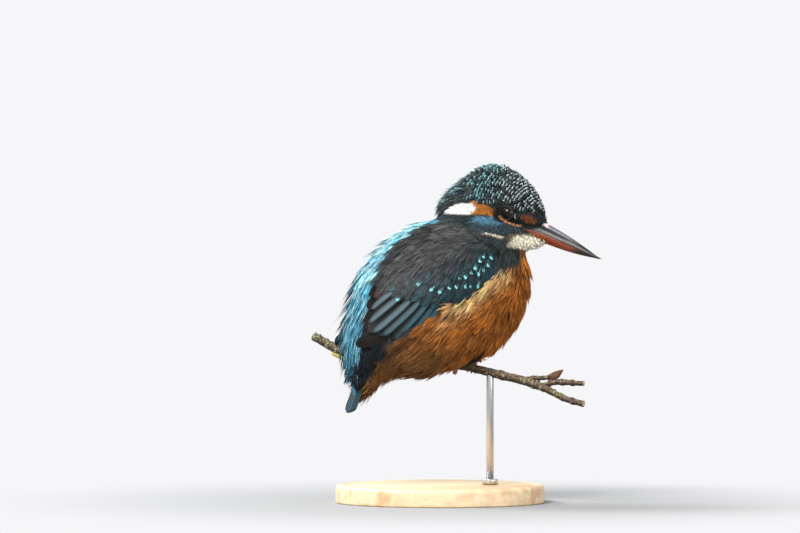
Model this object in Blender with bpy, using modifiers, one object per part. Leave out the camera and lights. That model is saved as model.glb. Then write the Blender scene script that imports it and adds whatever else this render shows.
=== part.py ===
"""A common kingfisher, life size, perched on a cut length of branch above a plain display stand.

Lengths in the tables below are millimetres and MM turns them into metres. +Z is up, and the origin is
the centre of the base's underside. The bird looks along +X: its trunk is turned a little towards +Y and
its head back towards -Y. A place on the trunk is (a, w, z): a ahead along the trunk, w to the bird's
left, z up. A place on the head is (s, b, z): s ahead of the eyes along the head, b to the bird's left.
"""

import functools
import math

import bmesh
import bpy
import numpy as np
from mathutils import Vector

MM = 0.001
GAP = 0.3
GAP_HALF = GAP / 2

TRUNK_YAW = math.radians(22.0)
HEAD_YAW = math.radians(-28.0)
LEFT, RIGHT = 1, -1

# Trunk stations from the tail coverts to the neck: the back's place, the breast's place, half the width.
TRUNK_STATIONS = (
    # back a, back z, breast a, breast z, half width
    (-41.4, 48.0, -38.0, 45.4, 3.0),
    (-42.6, 53.0, -33.8, 49.2, 6.8),
    (-43.0, 60.0, -27.2, 54.4, 10.5),
    (-43.6, 66.5, -19.0, 56.6, 15.0),
    (-43.8, 73.5, -8.0, 54.8, 20.0),
    (-42.2, 80.5, 3.4, 57.8, 23.5),
    (-40.4, 88.0, 16.4, 60.4, 25.5),
    (-38.3, 95.5, 26.8, 67.8, 26.2),
    (-35.0, 102.8, 35.2, 77.2, 26.2),
    (-29.8, 109.8, 40.0, 87.5, 25.4),
    (-21.0, 117.2, 41.6, 97.0, 23.5),
    (-9.4, 123.2, 41.0, 105.0, 20.5),
    (2.0, 126.8, 38.4, 111.2, 16.5),
    (12.0, 129.0, 34.5, 116.0, 12.0),
)
TRUNK_ROUNDNESS = 2.15

# Head stations from the bill to the nape: place along the head, crown z, throat z, half the width.
HEAD_STATIONS = (
    (13.3, 123.4, 113.8, 3.3),
    (12.6, 128.8, 112.7, 4.3),
    (9.4, 135.8, 111.0, 5.6),
    (4.0, 141.8, 109.4, 7.9),
    (-3.4, 146.1, 107.0, 12.2),
    (-11.0, 148.3, 104.0, 15.0),
    (-18.0, 146.8, 103.0, 15.8),
    (-24.0, 143.6, 104.0, 15.6),
    (-29.0, 139.3, 107.0, 14.6),
    (-33.0, 134.6, 111.0, 12.6),
    (-36.0, 128.5, 117.0, 8.0),
)
HEAD_ROUNDNESS = 2.1
HEAD_AT = (34.5, 5.4)
NECK_BEND_FROM = -6.0
NECK_BEND_OVER = 28.0
BEND_STEP = 0.5

RING_POINTS = 40
LOFT_STEPS = 4
BODY_VOXEL = 1.0
BODY_SMOOTHING = 10
BODY_TRIANGLES = 2150

# The planes that part trunk, neck and head: a point on each and its normal, in world axes.
NECK_FLOOR = ((0.0, 0.0, 117.6), (0.36, 0.0, 0.93))
NECK_CEILING = ((0.0, 0.0, 124.2), (0.28, 0.0, 0.96))

EYE_AT = (-0.6, 7.9, 127.6)
EYE_RADIUS = 3.7
EYE_SEGMENTS, EYE_RINGS = 12, 8

# The bill, along the head: its root inside the head, where the ridge leaves the feathers, and the tip.
BILL_ROOT, BILL_BASE, BILL_TIP = 3.5, 12.6, 40.9
BILL_TIP_Z = 107.5
RIDGE_Z, RIDGE_BULGE = 123.6, 0.8
GAPE_Z, MOUTH_Z = 121.4, 118.6
KEEL_Z, KEEL_BULGE = 114.4, 0.8
BILL_HALF_WIDTH, GAPE_FLARE = 4.2, 0.42
BILL_TIP_RADIUS = 0.18
BILL_ROOM = 0.42
BILL_STEPS, BILL_ARC = 12, 7
LOWER_BILL_SHORTER = 2.0

# Folded wing from the shoulder to the tip. Each station: its upper edge, its lower edge, and how far
# out from the midline the upper edge, the middle and the lower edge stand.
WING_STATIONS = (
    # place, upper a, upper z, lower a, lower z, upper w, middle w, lower w
    (0.00, 20.0, 114.0, 23.0, 104.0, 17.0, 20.0, 19.8),
    (0.12, 11.0, 121.4, 18.5, 98.5, 14.5, 23.4, 23.4),
    (0.25, 0.0, 122.4, 8.5, 93.5, 12.4, 25.6, 26.2),
    (0.40, -12.5, 118.6, -3.0, 87.5, 11.2, 26.8, 27.4),
    (0.55, -23.0, 111.0, -13.0, 81.0, 10.6, 26.4, 26.8),
    (0.70, -31.6, 100.4, -22.5, 74.5, 10.4, 24.2, 24.6),
    (0.80, -36.2, 91.6, -29.8, 71.0, 10.4, 21.2, 21.2),
    (0.90, -40.4, 81.8, -37.0, 69.0, 10.2, 16.8, 16.8),
    (1.00, -43.6, 72.4, -42.8, 68.6, 9.8, 11.6, 11.6),
)
COVERTS_END = (0.84, 0.43)
SECONDARIES_END = (0.955, 0.80)
WING_LENGTH = 76.0
COVERTS_LIFT, SECONDARIES_LIFT, PRIMARIES_LIFT = 0.9, 0.3, -0.2
COVERTS_SINK, SECONDARIES_SINK, PRIMARIES_SINK = 1.1, 1.1, 1.1
SECONDARY_FEATHERS = 8
SECONDARY_STEP = 0.45
COVERT_COLUMNS, COVERT_ROWS = 9, 8
SECONDARY_ROWS = 3
PRIMARY_COLUMNS, PRIMARY_ROWS = 6, 3
WING_ROOM_COLUMNS, WING_ROOM_ROWS = 8, 11
WING_EDGE_THICKNESS = 0.55
WING_CUT_IN, WING_CUT_OUT_TRUNK, WING_CUT_OUT_HEAD = 1.5, 9.0, 1.5

# The tail hangs steeply down from the rump.
TAIL_ROOT, TAIL_TIP = (-33.8, 61.5), (-43.0, 41.0)
TAIL_HALF_WIDTHS = (7.2, 6.8)
TAIL_THICKNESS = 1.3
TAIL_ROOF = 0.5
TAIL_FEATHERS = 12
TAIL_ROUND = 1.2
TAIL_STEPS = 6

# The branch along world X: x, z and radius. It slants by BRANCH_YAW, towards +Y at its -X end, and
# passes under the belly and beyond the tail.
BRANCH_YAW = math.radians(25.0)
BRANCH_POINTS = (
    (-56.0, 72.3, 2.05),
    (-50.5, 69.2, 2.0),
    (-46.0, 66.8, 2.15),
    (-41.0, 64.5, 2.1),
    (-32.0, 63.0, 1.95),
    (-18.0, 62.1, 1.95),
    (-5.0, 61.5, 2.0),
    (7.5, 60.5, 1.95),
    (17.0, 58.7, 1.9),
    (26.4, 56.5, 2.05),
    (34.0, 54.8, 1.95),
    (40.0, 53.2, 2.1),
    (46.6, 50.6, 1.7),
    (53.3, 47.2, 1.4),
    (58.0, 45.6, 1.4),
    (63.0, 44.3, 1.45),
)
FORK_POINTS = (
    (44.0, 51.8, 1.3),
    (47.6, 53.0, 1.3),
    (51.3, 53.9, 1.5),
    (56.7, 53.6, 1.35),
    (63.0, 53.4, 1.25),
)
SPUR_POINTS = (
    (37.0, 54.8, 1.1),
    (42.0, 55.4, 1.15),
    (45.6, 55.5, 1.1),
    (47.6, 55.9, 1.2),
    (50.0, 57.0, 1.45),
    (52.0, 58.0, 1.0),
    (53.6, 58.8, 0.22),
)
BRANCH_AT = (7.0, 2.8)
BRANCH_ROUND, TWIG_ROUND = 2, 1

FEET_APART = 12.6
TOE_RADII = (0.9, 0.75)
CLAW_RADII = (0.6, 0.12)
TOE_STEPS = 6
CLAW_TURN = math.radians(34.0)
FRONT_TOE_TURN = math.radians(112.0)
HIND_TOE_TURN = math.radians(-150.0)
TOE_SPREAD, HIND_TOE_SLIDE = 2.0, -7.2
TOE_START = 0.16
TARSUS_RADIUS = 1.15
TARSUS_RISE, TARSUS_BACK = 8.5, 4.5
FOOT_ROOM, FOOT_ROOM_RADIUS = (-7.0, 16.4), 4.7

BASE_RADIUS, BASE_HEIGHT, BASE_CHAMFER, BASE_SIDES = 46.0, 8.0, 1.2, 36
ROD_RADIUS, ROD_AT = 1.6, 22.0
FERRULE_RADIUS, FERRULE_HEIGHT = 3.6, 2.4
BAR_SIDES = 16


def clear_scene():
    for obj in list(bpy.data.objects):
        bpy.data.objects.remove(obj)


def collection(name):
    made = bpy.data.collections.new(name)
    bpy.context.scene.collection.children.link(made)
    return made


def material(name, colour, roughness, metallic=0.0):
    made = bpy.data.materials.new(name)
    made.use_nodes = True
    shader = made.node_tree.nodes["Principled BSDF"]
    shader.inputs["Base Color"].default_value = (*colour, 1.0)
    shader.inputs["Roughness"].default_value = roughness
    shader.inputs["Metallic"].default_value = metallic
    return made


def smoothstep(x):
    x = np.clip(x, 0.0, 1.0)
    return x * x * (3 - 2 * x)


def through_stations(table, steps):
    """Rows between the table's own, on a Catmull-Rom curve through each column."""
    rows = np.array(table, float)
    ends = np.vstack([2 * rows[0] - rows[1], rows, 2 * rows[-1] - rows[-2]])
    found = []
    for i in range(1, len(rows)):
        before, start, end, after = ends[i - 1 : i + 3]
        for t in np.arange(steps) / steps:
            found.append(
                0.5 * (
                    2 * start
                    + (end - before) * t
                    + (2 * before - 5 * start + 4 * end - after) * t**2
                    + (3 * start - before - 3 * end + after) * t**3
                )
            )
    found.append(rows[-1])
    return np.array(found)


def on_trunk(a, w, z):
    """A trunk place as a world place, in millimetres."""
    c, s = math.cos(TRUNK_YAW), math.sin(TRUNK_YAW)
    return np.stack(np.broadcast_arrays(a * c - w * s, a * s + w * c, z), axis=-1)


def head_line(s):
    """Where the head's midline is at s, and the way it points there: it bends back to meet the neck."""
    x, y, at, yaw = *HEAD_AT, 0.0, HEAD_YAW
    if s >= NECK_BEND_FROM:
        return x + s * math.cos(yaw), y + s * math.sin(yaw), yaw
    while at > s:
        bend = smoothstep((NECK_BEND_FROM - at) / NECK_BEND_OVER)
        yaw = HEAD_YAW + (TRUNK_YAW - HEAD_YAW) * float(bend)
        x -= BEND_STEP * math.cos(yaw)
        y -= BEND_STEP * math.sin(yaw)
        at -= BEND_STEP
    return x, y, yaw


def on_head(s, b, z):
    """A head place as a world place, in millimetres."""
    x, y, yaw = head_line(s)
    return np.stack(
        np.broadcast_arrays(x - b * math.sin(yaw), y + b * math.cos(yaw), z), axis=-1
    )


def superellipse(count, power):
    """Points round a closed curve between an ellipse and a box, as (up, left) shares of its half sizes."""
    angle = np.arange(count) * 2 * math.pi / count
    up, left = np.cos(angle), np.sin(angle)
    return (
        np.sign(up) * np.abs(up) ** (2 / power),
        np.sign(left) * np.abs(left) ** (2 / power),
    )


def mesh_object(name, points, faces, group):
    mesh = bpy.data.meshes.new(name)
    mesh.from_pydata([tuple(p * MM) for p in points], [], faces)
    obj = bpy.data.objects.new(name, mesh)
    group.objects.link(obj)
    return obj


def end_faces(first, count):
    """A strip of faces over one end ring, from its first and last points to its middle."""
    last = first + count - 1
    faces = [(first + i, first + i + 1, last - i - 1, last - i) for i in range(count // 2 - 1 + count % 2)]
    if count % 2:
        middle = first + count // 2
        faces[-1:] = [(middle - 1, middle, middle + 1)]
    return faces


def loft(name, rings, group):
    """A closed body through rings that hold the same number of points each."""
    count = len(rings[0])
    faces = []
    for r in range(len(rings) - 1):
        low, high = r * count, (r + 1) * count
        for i in range(count):
            j = (i + 1) % count
            faces.append((low + i, low + j, high + j, high + i))
    faces += end_faces(0, count) + end_faces((len(rings) - 1) * count, count)
    obj = mesh_object(name, np.concatenate(rings), faces, group)
    face_out(obj)
    return obj


def edit(obj):
    made = bmesh.new()
    made.from_mesh(obj.data)
    return made


def keep_edit(obj, made):
    made.to_mesh(obj.data)
    made.free()
    obj.data.update()


def face_out(obj):
    made = edit(obj)
    bmesh.ops.recalc_face_normals(made, faces=made.faces)
    keep_edit(obj, made)


def apply_modifiers(obj):
    graph = bpy.context.evaluated_depsgraph_get()
    mesh = bpy.data.meshes.new_from_object(obj.evaluated_get(graph))
    obj.modifiers.clear()
    obj.data = mesh


def weld(obj):
    made = edit(obj)
    bmesh.ops.remove_doubles(made, verts=made.verts, dist=1e-6)
    bmesh.ops.recalc_face_normals(made, faces=made.faces)
    keep_edit(obj, made)


def boolean(obj, other, operation):
    modifier = obj.modifiers.new(operation.lower(), "BOOLEAN")
    modifier.object = other
    modifier.operation = operation
    modifier.solver = "EXACT"
    apply_modifiers(obj)


def cut(obj, *cutters):
    for cutter in cutters:
        boolean(obj, cutter, "DIFFERENCE")
    keep_largest(obj)


def join_union(name, pieces):
    """The Boolean union of pieces, as one object. The pieces are removed."""
    first = pieces[0]
    for piece in pieces[1:]:
        boolean(first, piece, "UNION")
        bpy.data.objects.remove(piece)
    first.name = first.data.name = name
    keep_largest(first)
    return first


def keep_largest(obj):
    """Drops the slivers that a cut leaves off the main body."""
    made = edit(obj)
    made.verts.ensure_lookup_table()
    seen, islands = set(), []
    for vert in made.verts:
        if vert in seen:
            continue
        island, todo = [], [vert]
        seen.add(vert)
        while todo:
            here = todo.pop()
            island.append(here)
            for edge in here.link_edges:
                there = edge.other_vert(here)
                if there not in seen:
                    seen.add(there)
                    todo.append(there)
        islands.append(island)
    islands.sort(key=len)
    small = [vert for island in islands[:-1] for vert in island]
    bmesh.ops.delete(made, geom=small, context="VERTS")
    bmesh.ops.dissolve_degenerate(made, dist=2e-6, edges=made.edges)
    bmesh.ops.triangulate(made, faces=made.faces)
    keep_edit(obj, made)


def as_cutter(obj, group):
    for old in list(obj.users_collection):
        old.objects.unlink(obj)
    group.objects.link(obj)
    obj.hide_render = True
    obj.display_type = "WIRE"


def tube(name, points, radii, group, resolution=BRANCH_ROUND):
    """A round bar through the points, as a mesh, with its own radius at each point."""
    curve = bpy.data.curves.new(name, "CURVE")
    curve.dimensions = "3D"
    curve.bevel_depth = MM
    curve.bevel_resolution = resolution
    curve.use_fill_caps = True
    spline = curve.splines.new("POLY")
    spline.points.add(len(points) - 1)
    for point, place, radius in zip(spline.points, points, radii):
        point.co = (*(np.array(place) * MM), 1.0)
        point.radius = radius
    guide = bpy.data.objects.new(name + "_guide", curve)
    group.objects.link(guide)
    bpy.context.view_layer.update()
    graph = bpy.context.evaluated_depsgraph_get()
    mesh = bpy.data.meshes.new_from_object(guide.evaluated_get(graph))
    obj = bpy.data.objects.new(name, mesh)
    obj.matrix_world = guide.matrix_world
    group.objects.link(obj)
    bpy.data.objects.remove(guide)
    weld(obj)
    return obj


def trunk_rings():
    up, left = superellipse(RING_POINTS, TRUNK_ROUNDNESS)
    rings = []
    for back_a, back_z, breast_a, breast_z, half in through_stations(TRUNK_STATIONS, LOFT_STEPS):
        a = (back_a + breast_a) / 2 + up * (back_a - breast_a) / 2
        z = (back_z + breast_z) / 2 + up * (back_z - breast_z) / 2
        rings.append(on_trunk(a, left * half, z))
    return rings


def head_rings():
    up, left = superellipse(RING_POINTS, HEAD_ROUNDNESS)
    return [
        on_head(s, left * half, (crown + throat) / 2 + up * (crown - throat) / 2)
        for s, crown, throat, half in through_stations(HEAD_STATIONS, LOFT_STEPS)
    ]


def whole_body(group):
    """Trunk, neck and head in one soft skin, before they are parted."""
    body = loft("body", trunk_rings(), group)
    head_form = loft("body_head", head_rings(), group)
    boolean(body, head_form, "UNION")
    bpy.data.objects.remove(head_form)
    remesh = body.modifiers.new("skin", "REMESH")
    remesh.mode = "VOXEL"
    remesh.voxel_size = BODY_VOXEL * MM
    smooth = body.modifiers.new("smooth", "SMOOTH")
    smooth.factor = 0.5
    smooth.iterations = BODY_SMOOTHING
    apply_modifiers(body)
    keep_largest(body)
    fewer = body.modifiers.new("fewer", "DECIMATE")
    fewer.ratio = BODY_TRIANGLES / len(body.data.polygons)
    apply_modifiers(body)
    return body


def slice_off(obj, plane, above):
    """Keeps what lies above or below a plane, half a gap from it, and closes the cut."""
    point, normal = Vector(plane[0]) * MM, Vector(plane[1]).normalized()
    keep_side = 1 if above else -1
    made = edit(obj)
    bmesh.ops.bisect_plane(
        made,
        geom=[*made.verts, *made.edges, *made.faces],
        plane_co=point + normal * keep_side * GAP_HALF * MM,
        plane_no=normal,
        clear_inner=above,
        clear_outer=not above,
    )
    rim = [edge for edge in made.edges if edge.is_boundary]
    bmesh.ops.triangle_fill(made, edges=rim, use_beauty=True)
    bmesh.ops.recalc_face_normals(made, faces=made.faces)
    keep_edit(obj, made)


def parted(body, name, group, floor=None, ceiling=None):
    obj = bpy.data.objects.new(name, body.data.copy())
    group.objects.link(obj)
    if floor:
        slice_off(obj, floor, above=True)
    if ceiling:
        slice_off(obj, ceiling, above=False)
    keep_largest(obj)
    return obj


@functools.lru_cache
def wing_table():
    """The wing's stations, closer together and carried on a little past both ends."""
    rows = through_stations(WING_STATIONS, 8)
    return np.vstack([4 * rows[0] - 3 * rows[1], rows, 4 * rows[-1] - 3 * rows[-2]])


def wing_surface(p, q, side):
    """The folded wing's outer face: p from the shoulder to the tip, q from the upper to the lower edge."""
    table = wing_table()
    row = [np.interp(p, table[:, 0], table[:, k]) for k in range(1, 8)]
    upper_a, upper_z, lower_a, lower_z, upper_w, middle_w, lower_w = row
    a = upper_a + (lower_a - upper_a) * q
    z = upper_z + (lower_z - upper_z) * q
    w = (
        upper_w * (1 - q) * (1 - 2 * q)
        + middle_w * 4 * q * (1 - q)
        + lower_w * q * (2 * q - 1)
    )
    return on_trunk(a, side * w, z)


def wing_normal(p, q, side):
    step = 0.01
    along = wing_surface(p + step, q, side) - wing_surface(p - step, q, side)
    across = wing_surface(p, q + step, side) - wing_surface(p, q - step, side)
    normal = np.cross(along, across) * -side
    return normal / np.linalg.norm(normal, axis=-1, keepdims=True)


def wing_slab(name, side, start, end, q, p_steps, lift, sink, group):
    """A closed slab of the folded wing between two lines across it, each given by its p at the upper
    and the lower edge. lift(p share, q) is its height over the wing's outer face, sink its depth."""
    rings = []
    for share in np.linspace(0, 1, p_steps + 1):
        first = start[0] + (start[1] - start[0]) * q
        last = end[0] + (end[1] - end[0]) * q
        p = first + (last - first) * share
        place, normal = wing_surface(p, q, side), wing_normal(p, q, side)
        height = lift(share, q)
        rim = np.clip(6 * np.minimum(q, 1 - q), 0, 1)
        floor = np.minimum(height - WING_EDGE_THICKNESS, -sink * rim)
        outer = place + normal * height[:, None]
        inner = place + normal * floor[:, None]
        rings.append(np.concatenate([outer, inner[::-1]]))
    return loft(name, rings, group)


def with_gap(line, amount):
    return tuple(value + amount for value in line)


def wing(side, word, group):
    """The three slabs of one folded wing: coverts, then secondaries, then primaries."""
    gap_share = GAP / WING_LENGTH
    coverts = wing_slab(
        f"wing_{word}_coverts", side, (0.0, 0.0), with_gap(COVERTS_END, -gap_share),
        np.linspace(0, 1, COVERT_COLUMNS), COVERT_ROWS,
        lambda share, q: COVERTS_LIFT * smoothstep(share * 4) * np.ones_like(q), COVERTS_SINK, group,
    )
    feathers = np.arange(SECONDARY_FEATHERS)[:, None]
    columns = ((feathers + np.array([0.0, 0.5, 0.93])) / SECONDARY_FEATHERS).ravel()
    secondaries = wing_slab(
        f"wing_{word}_secondaries", side, COVERTS_END, with_gap(SECONDARIES_END, -gap_share),
        np.append(columns, 1.0), SECONDARY_ROWS,
        lambda share, q: SECONDARIES_LIFT
        + SECONDARY_STEP * ((q * SECONDARY_FEATHERS) % 1.0 - 0.5) * (q < 0.999),
        SECONDARIES_SINK, group,
    )
    primaries = wing_slab(
        f"wing_{word}_primaries", side, SECONDARIES_END, (1.0, 1.0),
        np.linspace(0, 1, PRIMARY_COLUMNS), PRIMARY_ROWS,
        lambda share, q: PRIMARIES_LIFT * np.ones_like(q), PRIMARIES_SINK, group,
    )
    return [coverts, secondaries, primaries]


def wing_room(name, side, group, out):
    """What a body piece gives up to a folded wing: the wing's own room, and out of it by so much more."""
    rings = []
    q = np.linspace(-0.03, 1.03, WING_ROOM_COLUMNS)
    for p in np.linspace(-0.02, 1.015, WING_ROOM_ROWS):
        place, normal = wing_surface(p, q, side), wing_normal(p, q, side)
        rings.append(np.concatenate([place + normal * out, (place - normal * WING_CUT_IN)[::-1]]))
    return loft(name, rings, group)


def bill_sections():
    """Each station of the bill: s, ridge z, mouth z, keel z, half width."""
    found = []
    for step in range(BILL_STEPS + 1):
        s = BILL_ROOT + (BILL_TIP - BILL_ROOT) * (step / BILL_STEPS) ** 0.85
        share = (s - BILL_BASE) / (BILL_TIP - BILL_BASE)
        swell = math.sin(math.pi * max(share, 0.0))
        ridge = RIDGE_Z + (BILL_TIP_Z - RIDGE_Z) * max(share, 0.0) + RIDGE_BULGE * swell
        keel = KEEL_Z + (BILL_TIP_Z - KEEL_Z) * max(share, 0.0) - KEEL_BULGE * swell
        if share > 0:
            mouth = MOUTH_Z + (BILL_TIP_Z - MOUTH_Z) * share
            half = BILL_HALF_WIDTH * (1 - share) ** 0.85
        else:
            mouth = MOUTH_Z + (GAPE_Z - MOUTH_Z) * (BILL_BASE - s) / (BILL_BASE - BILL_ROOT)
            half = BILL_HALF_WIDTH + GAPE_FLARE * (BILL_BASE - s)
        found.append((s, ridge, mouth, keel, max(half, BILL_TIP_RADIUS)))
    return found


def half_bill(name, group, upper, grow=0.0):
    """One mandible: a rounded wedge between the mouth's line and the ridge or the keel."""
    arc = np.linspace(0, math.pi, BILL_ARC + 2)
    rings = []
    for s, ridge, mouth, keel, half in bill_sections():
        if not upper:
            s = min(s, BILL_TIP - LOWER_BILL_SHORTER)
        edge = ridge if upper else keel
        side = 1 if upper else -1
        lip = mouth + side * (GAP_HALF - grow)
        tall = max(abs(edge - lip), BILL_TIP_RADIUS) + grow
        rise = side * tall * np.sin(arc) ** 1.1
        across = (half * (1.0 if upper else 0.96) + grow) * np.cos(arc)
        rings.append(on_head(s, across, lip + rise))
        if not upper and s == BILL_TIP - LOWER_BILL_SHORTER:
            break
    return loft(name, rings, group)


def eye(side, word, group, radius=EYE_RADIUS):
    place = on_head(EYE_AT[0], side * EYE_AT[1], EYE_AT[2]) * MM
    bpy.ops.mesh.primitive_uv_sphere_add(
        segments=EYE_SEGMENTS, ring_count=EYE_RINGS, radius=radius * MM, location=place,
        rotation=(math.pi / 2, 0, HEAD_YAW),
    )
    obj = bpy.context.object
    for old in list(obj.users_collection):
        old.objects.unlink(obj)
    group.objects.link(obj)
    obj.name = obj.data.name = word
    obj.data.shade_smooth()
    return obj


def tail_slab(name, group, grow=0.0):
    """The closed tail: a shallow roof of twelve feathers with a rounded end."""
    root, tip = np.array(TAIL_ROOT), np.array(TAIL_TIP)
    down = (tip - root) / np.linalg.norm(tip - root)
    out = np.array([down[1], -down[0]])
    across = np.linspace(-1, 1, TAIL_FEATHERS + 1)
    rings = []
    for share in np.linspace(0, 1, TAIL_STEPS + 1):
        half = TAIL_HALF_WIDTHS[0] + (TAIL_HALF_WIDTHS[1] - TAIL_HALF_WIDTHS[0]) * share + grow
        shorten = TAIL_ROUND * across**2 * share
        middle = root + (tip - root) * share
        sink = TAIL_ROOF * across**2
        ring = []
        for face, order in ((0.5, slice(None)), (-0.5, slice(None, None, -1))):
            depth = face * (TAIL_THICKNESS + 2 * grow) - sink
            a = middle[0] + out[0] * depth - down[0] * shorten
            z = middle[1] + out[1] * depth - down[1] * shorten
            ring.append(on_trunk(a, across * half, z)[order])
        rings.append(np.concatenate(ring))
    return loft(name, rings, group)


def on_branch(x, z):
    return np.array([x, BRANCH_AT[1] - (x - BRANCH_AT[0]) * math.tan(BRANCH_YAW), z])


def branch(name, group, grow=0.0):
    """The cut branch, its forked twig and its budded spur, as one piece of wood."""
    pieces = []
    for word, table, round_by in (
        ("_main", BRANCH_POINTS, BRANCH_ROUND),
        ("_fork", FORK_POINTS, TWIG_ROUND),
        ("_spur", SPUR_POINTS, TWIG_ROUND),
    ):
        rows = through_stations(table, 2)
        places = [on_branch(x, z) for x, z, _ in rows]
        pieces.append(tube(name + word, places, rows[:, 2] + grow, group, round_by))
    return join_union(name, pieces)


def branch_at(x):
    """The branch's middle and radius at x."""
    table = through_stations(BRANCH_POINTS, 8)
    z = float(np.interp(x, table[:, 0], table[:, 1]))
    return on_branch(x, z), float(np.interp(x, table[:, 0], table[:, 2]))


def toe(name, x, turn, slide, group):
    """A toe that lies round the branch from its top at x, and its claw. turn is how far round it
    reaches, and slide how far along."""
    along = np.array([math.cos(BRANCH_YAW), -math.sin(BRANCH_YAW), 0.0])
    ahead = np.array([math.sin(BRANCH_YAW), math.cos(BRANCH_YAW), 0.0]) * math.copysign(1.0, turn)
    reach = abs(turn) + CLAW_TURN
    places, radii = [], []
    for step in range(TOE_STEPS + 1):
        angle = reach * step / TOE_STEPS
        on_claw = (angle - abs(turn)) / CLAW_TURN
        if on_claw > 0:
            radii.append(CLAW_RADII[0] + (CLAW_RADII[1] - CLAW_RADII[0]) * on_claw)
        else:
            radii.append(TOE_RADII[0] + (TOE_RADII[1] - TOE_RADII[0]) * angle / abs(turn))
        shift = slide * (TOE_START + (1 - TOE_START) * step / TOE_STEPS)
        middle, radius = branch_at(x + shift * along[0])
        far = radius + GAP + TOE_RADII[0]
        places.append(middle + far * (ahead * math.sin(angle) + np.array([0, 0, math.cos(angle)])))
    return tube(name, places, radii, group, TWIG_ROUND)


def foot_x(side):
    return BRANCH_AT[0] - side * FEET_APART / 2 * math.cos(BRANCH_YAW)


def shank(name, side, group, grow=0.0):
    """The short bar from the foot up and back into the belly's feathers."""
    middle, radius = branch_at(foot_x(side))
    ankle = middle + np.array([0, 0, radius + GAP + TOE_RADII[0]])
    back = TARSUS_BACK * np.array([math.cos(TRUNK_YAW), math.sin(TRUNK_YAW), 0])
    hip = ankle - back + np.array([0, 0, TARSUS_RISE + grow])
    return tube(name, [ankle, (ankle + hip) / 2, hip], [TARSUS_RADIUS + grow] * 3, group, TWIG_ROUND)


def leg(name, side, group):
    """A short shank with three toes ahead and one behind, as one piece."""
    turns = [(FRONT_TOE_TURN, slide * TOE_SPREAD) for slide in (-1, 0, 1)]
    turns.append((HIND_TOE_TURN, HIND_TOE_SLIDE))
    pieces = [
        toe(f"{name}_toe_{i}", foot_x(side), turn, slide, group)
        for i, (turn, slide) in enumerate(turns)
    ]
    pieces.append(shank(name + "_shank", side, group))
    return join_union(name, pieces)


def feet_room(group):
    """A groove along the branch that holds both feet under the belly."""
    places = [branch_at(x)[0] for x in np.linspace(*FOOT_ROOM, 4)]
    return tube("room_feet", places, [FOOT_ROOM_RADIUS] * 4, group)


def stand(group, branch_room):
    bpy.ops.mesh.primitive_cylinder_add(
        vertices=BASE_SIDES, radius=BASE_RADIUS * MM, depth=BASE_HEIGHT * MM,
        location=(0, 0, BASE_HEIGHT / 2 * MM),
    )
    base = bpy.context.object
    base.name = base.data.name = "stand_base"
    bevel = base.modifiers.new("chamfer", "BEVEL")
    bevel.width = BASE_CHAMFER * MM
    bevel.segments = 1
    bevel.angle_limit = math.radians(40)
    middle, _ = branch_at(ROD_AT)
    rod = bar("stand_rod", ROD_RADIUS, BASE_HEIGHT + GAP, middle[2], middle)
    cut(rod, branch_room)
    ferrule_foot = BASE_HEIGHT + GAP
    ferrule = bar("stand_ferrule", FERRULE_RADIUS, ferrule_foot, ferrule_foot + FERRULE_HEIGHT, middle)
    rod_room = bar("room_rod", ROD_RADIUS + GAP, BASE_HEIGHT - 1, middle[2], middle)
    cut(ferrule, rod_room)
    bpy.data.objects.remove(rod_room)
    for obj in (base, rod, ferrule):
        for old in list(obj.users_collection):
            old.objects.unlink(obj)
        group.objects.link(obj)
    return base, rod, ferrule


def bar(name, radius, low, high, middle):
    """An upright round bar."""
    bpy.ops.mesh.primitive_cylinder_add(
        vertices=BAR_SIDES, radius=radius * MM, depth=(high - low) * MM,
        location=(middle[0] * MM, middle[1] * MM, (low + high) / 2 * MM),
    )
    obj = bpy.context.object
    obj.name = obj.data.name = name
    obj.data.transform(obj.matrix_world)
    obj.matrix_world.identity()
    return obj


def finish(objects, look):
    for obj in objects:
        obj.data.materials.clear()
        obj.data.materials.append(look)
        obj.data.shade_smooth()
        obj.data.set_sharp_from_angle(angle=math.radians(50))


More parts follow.
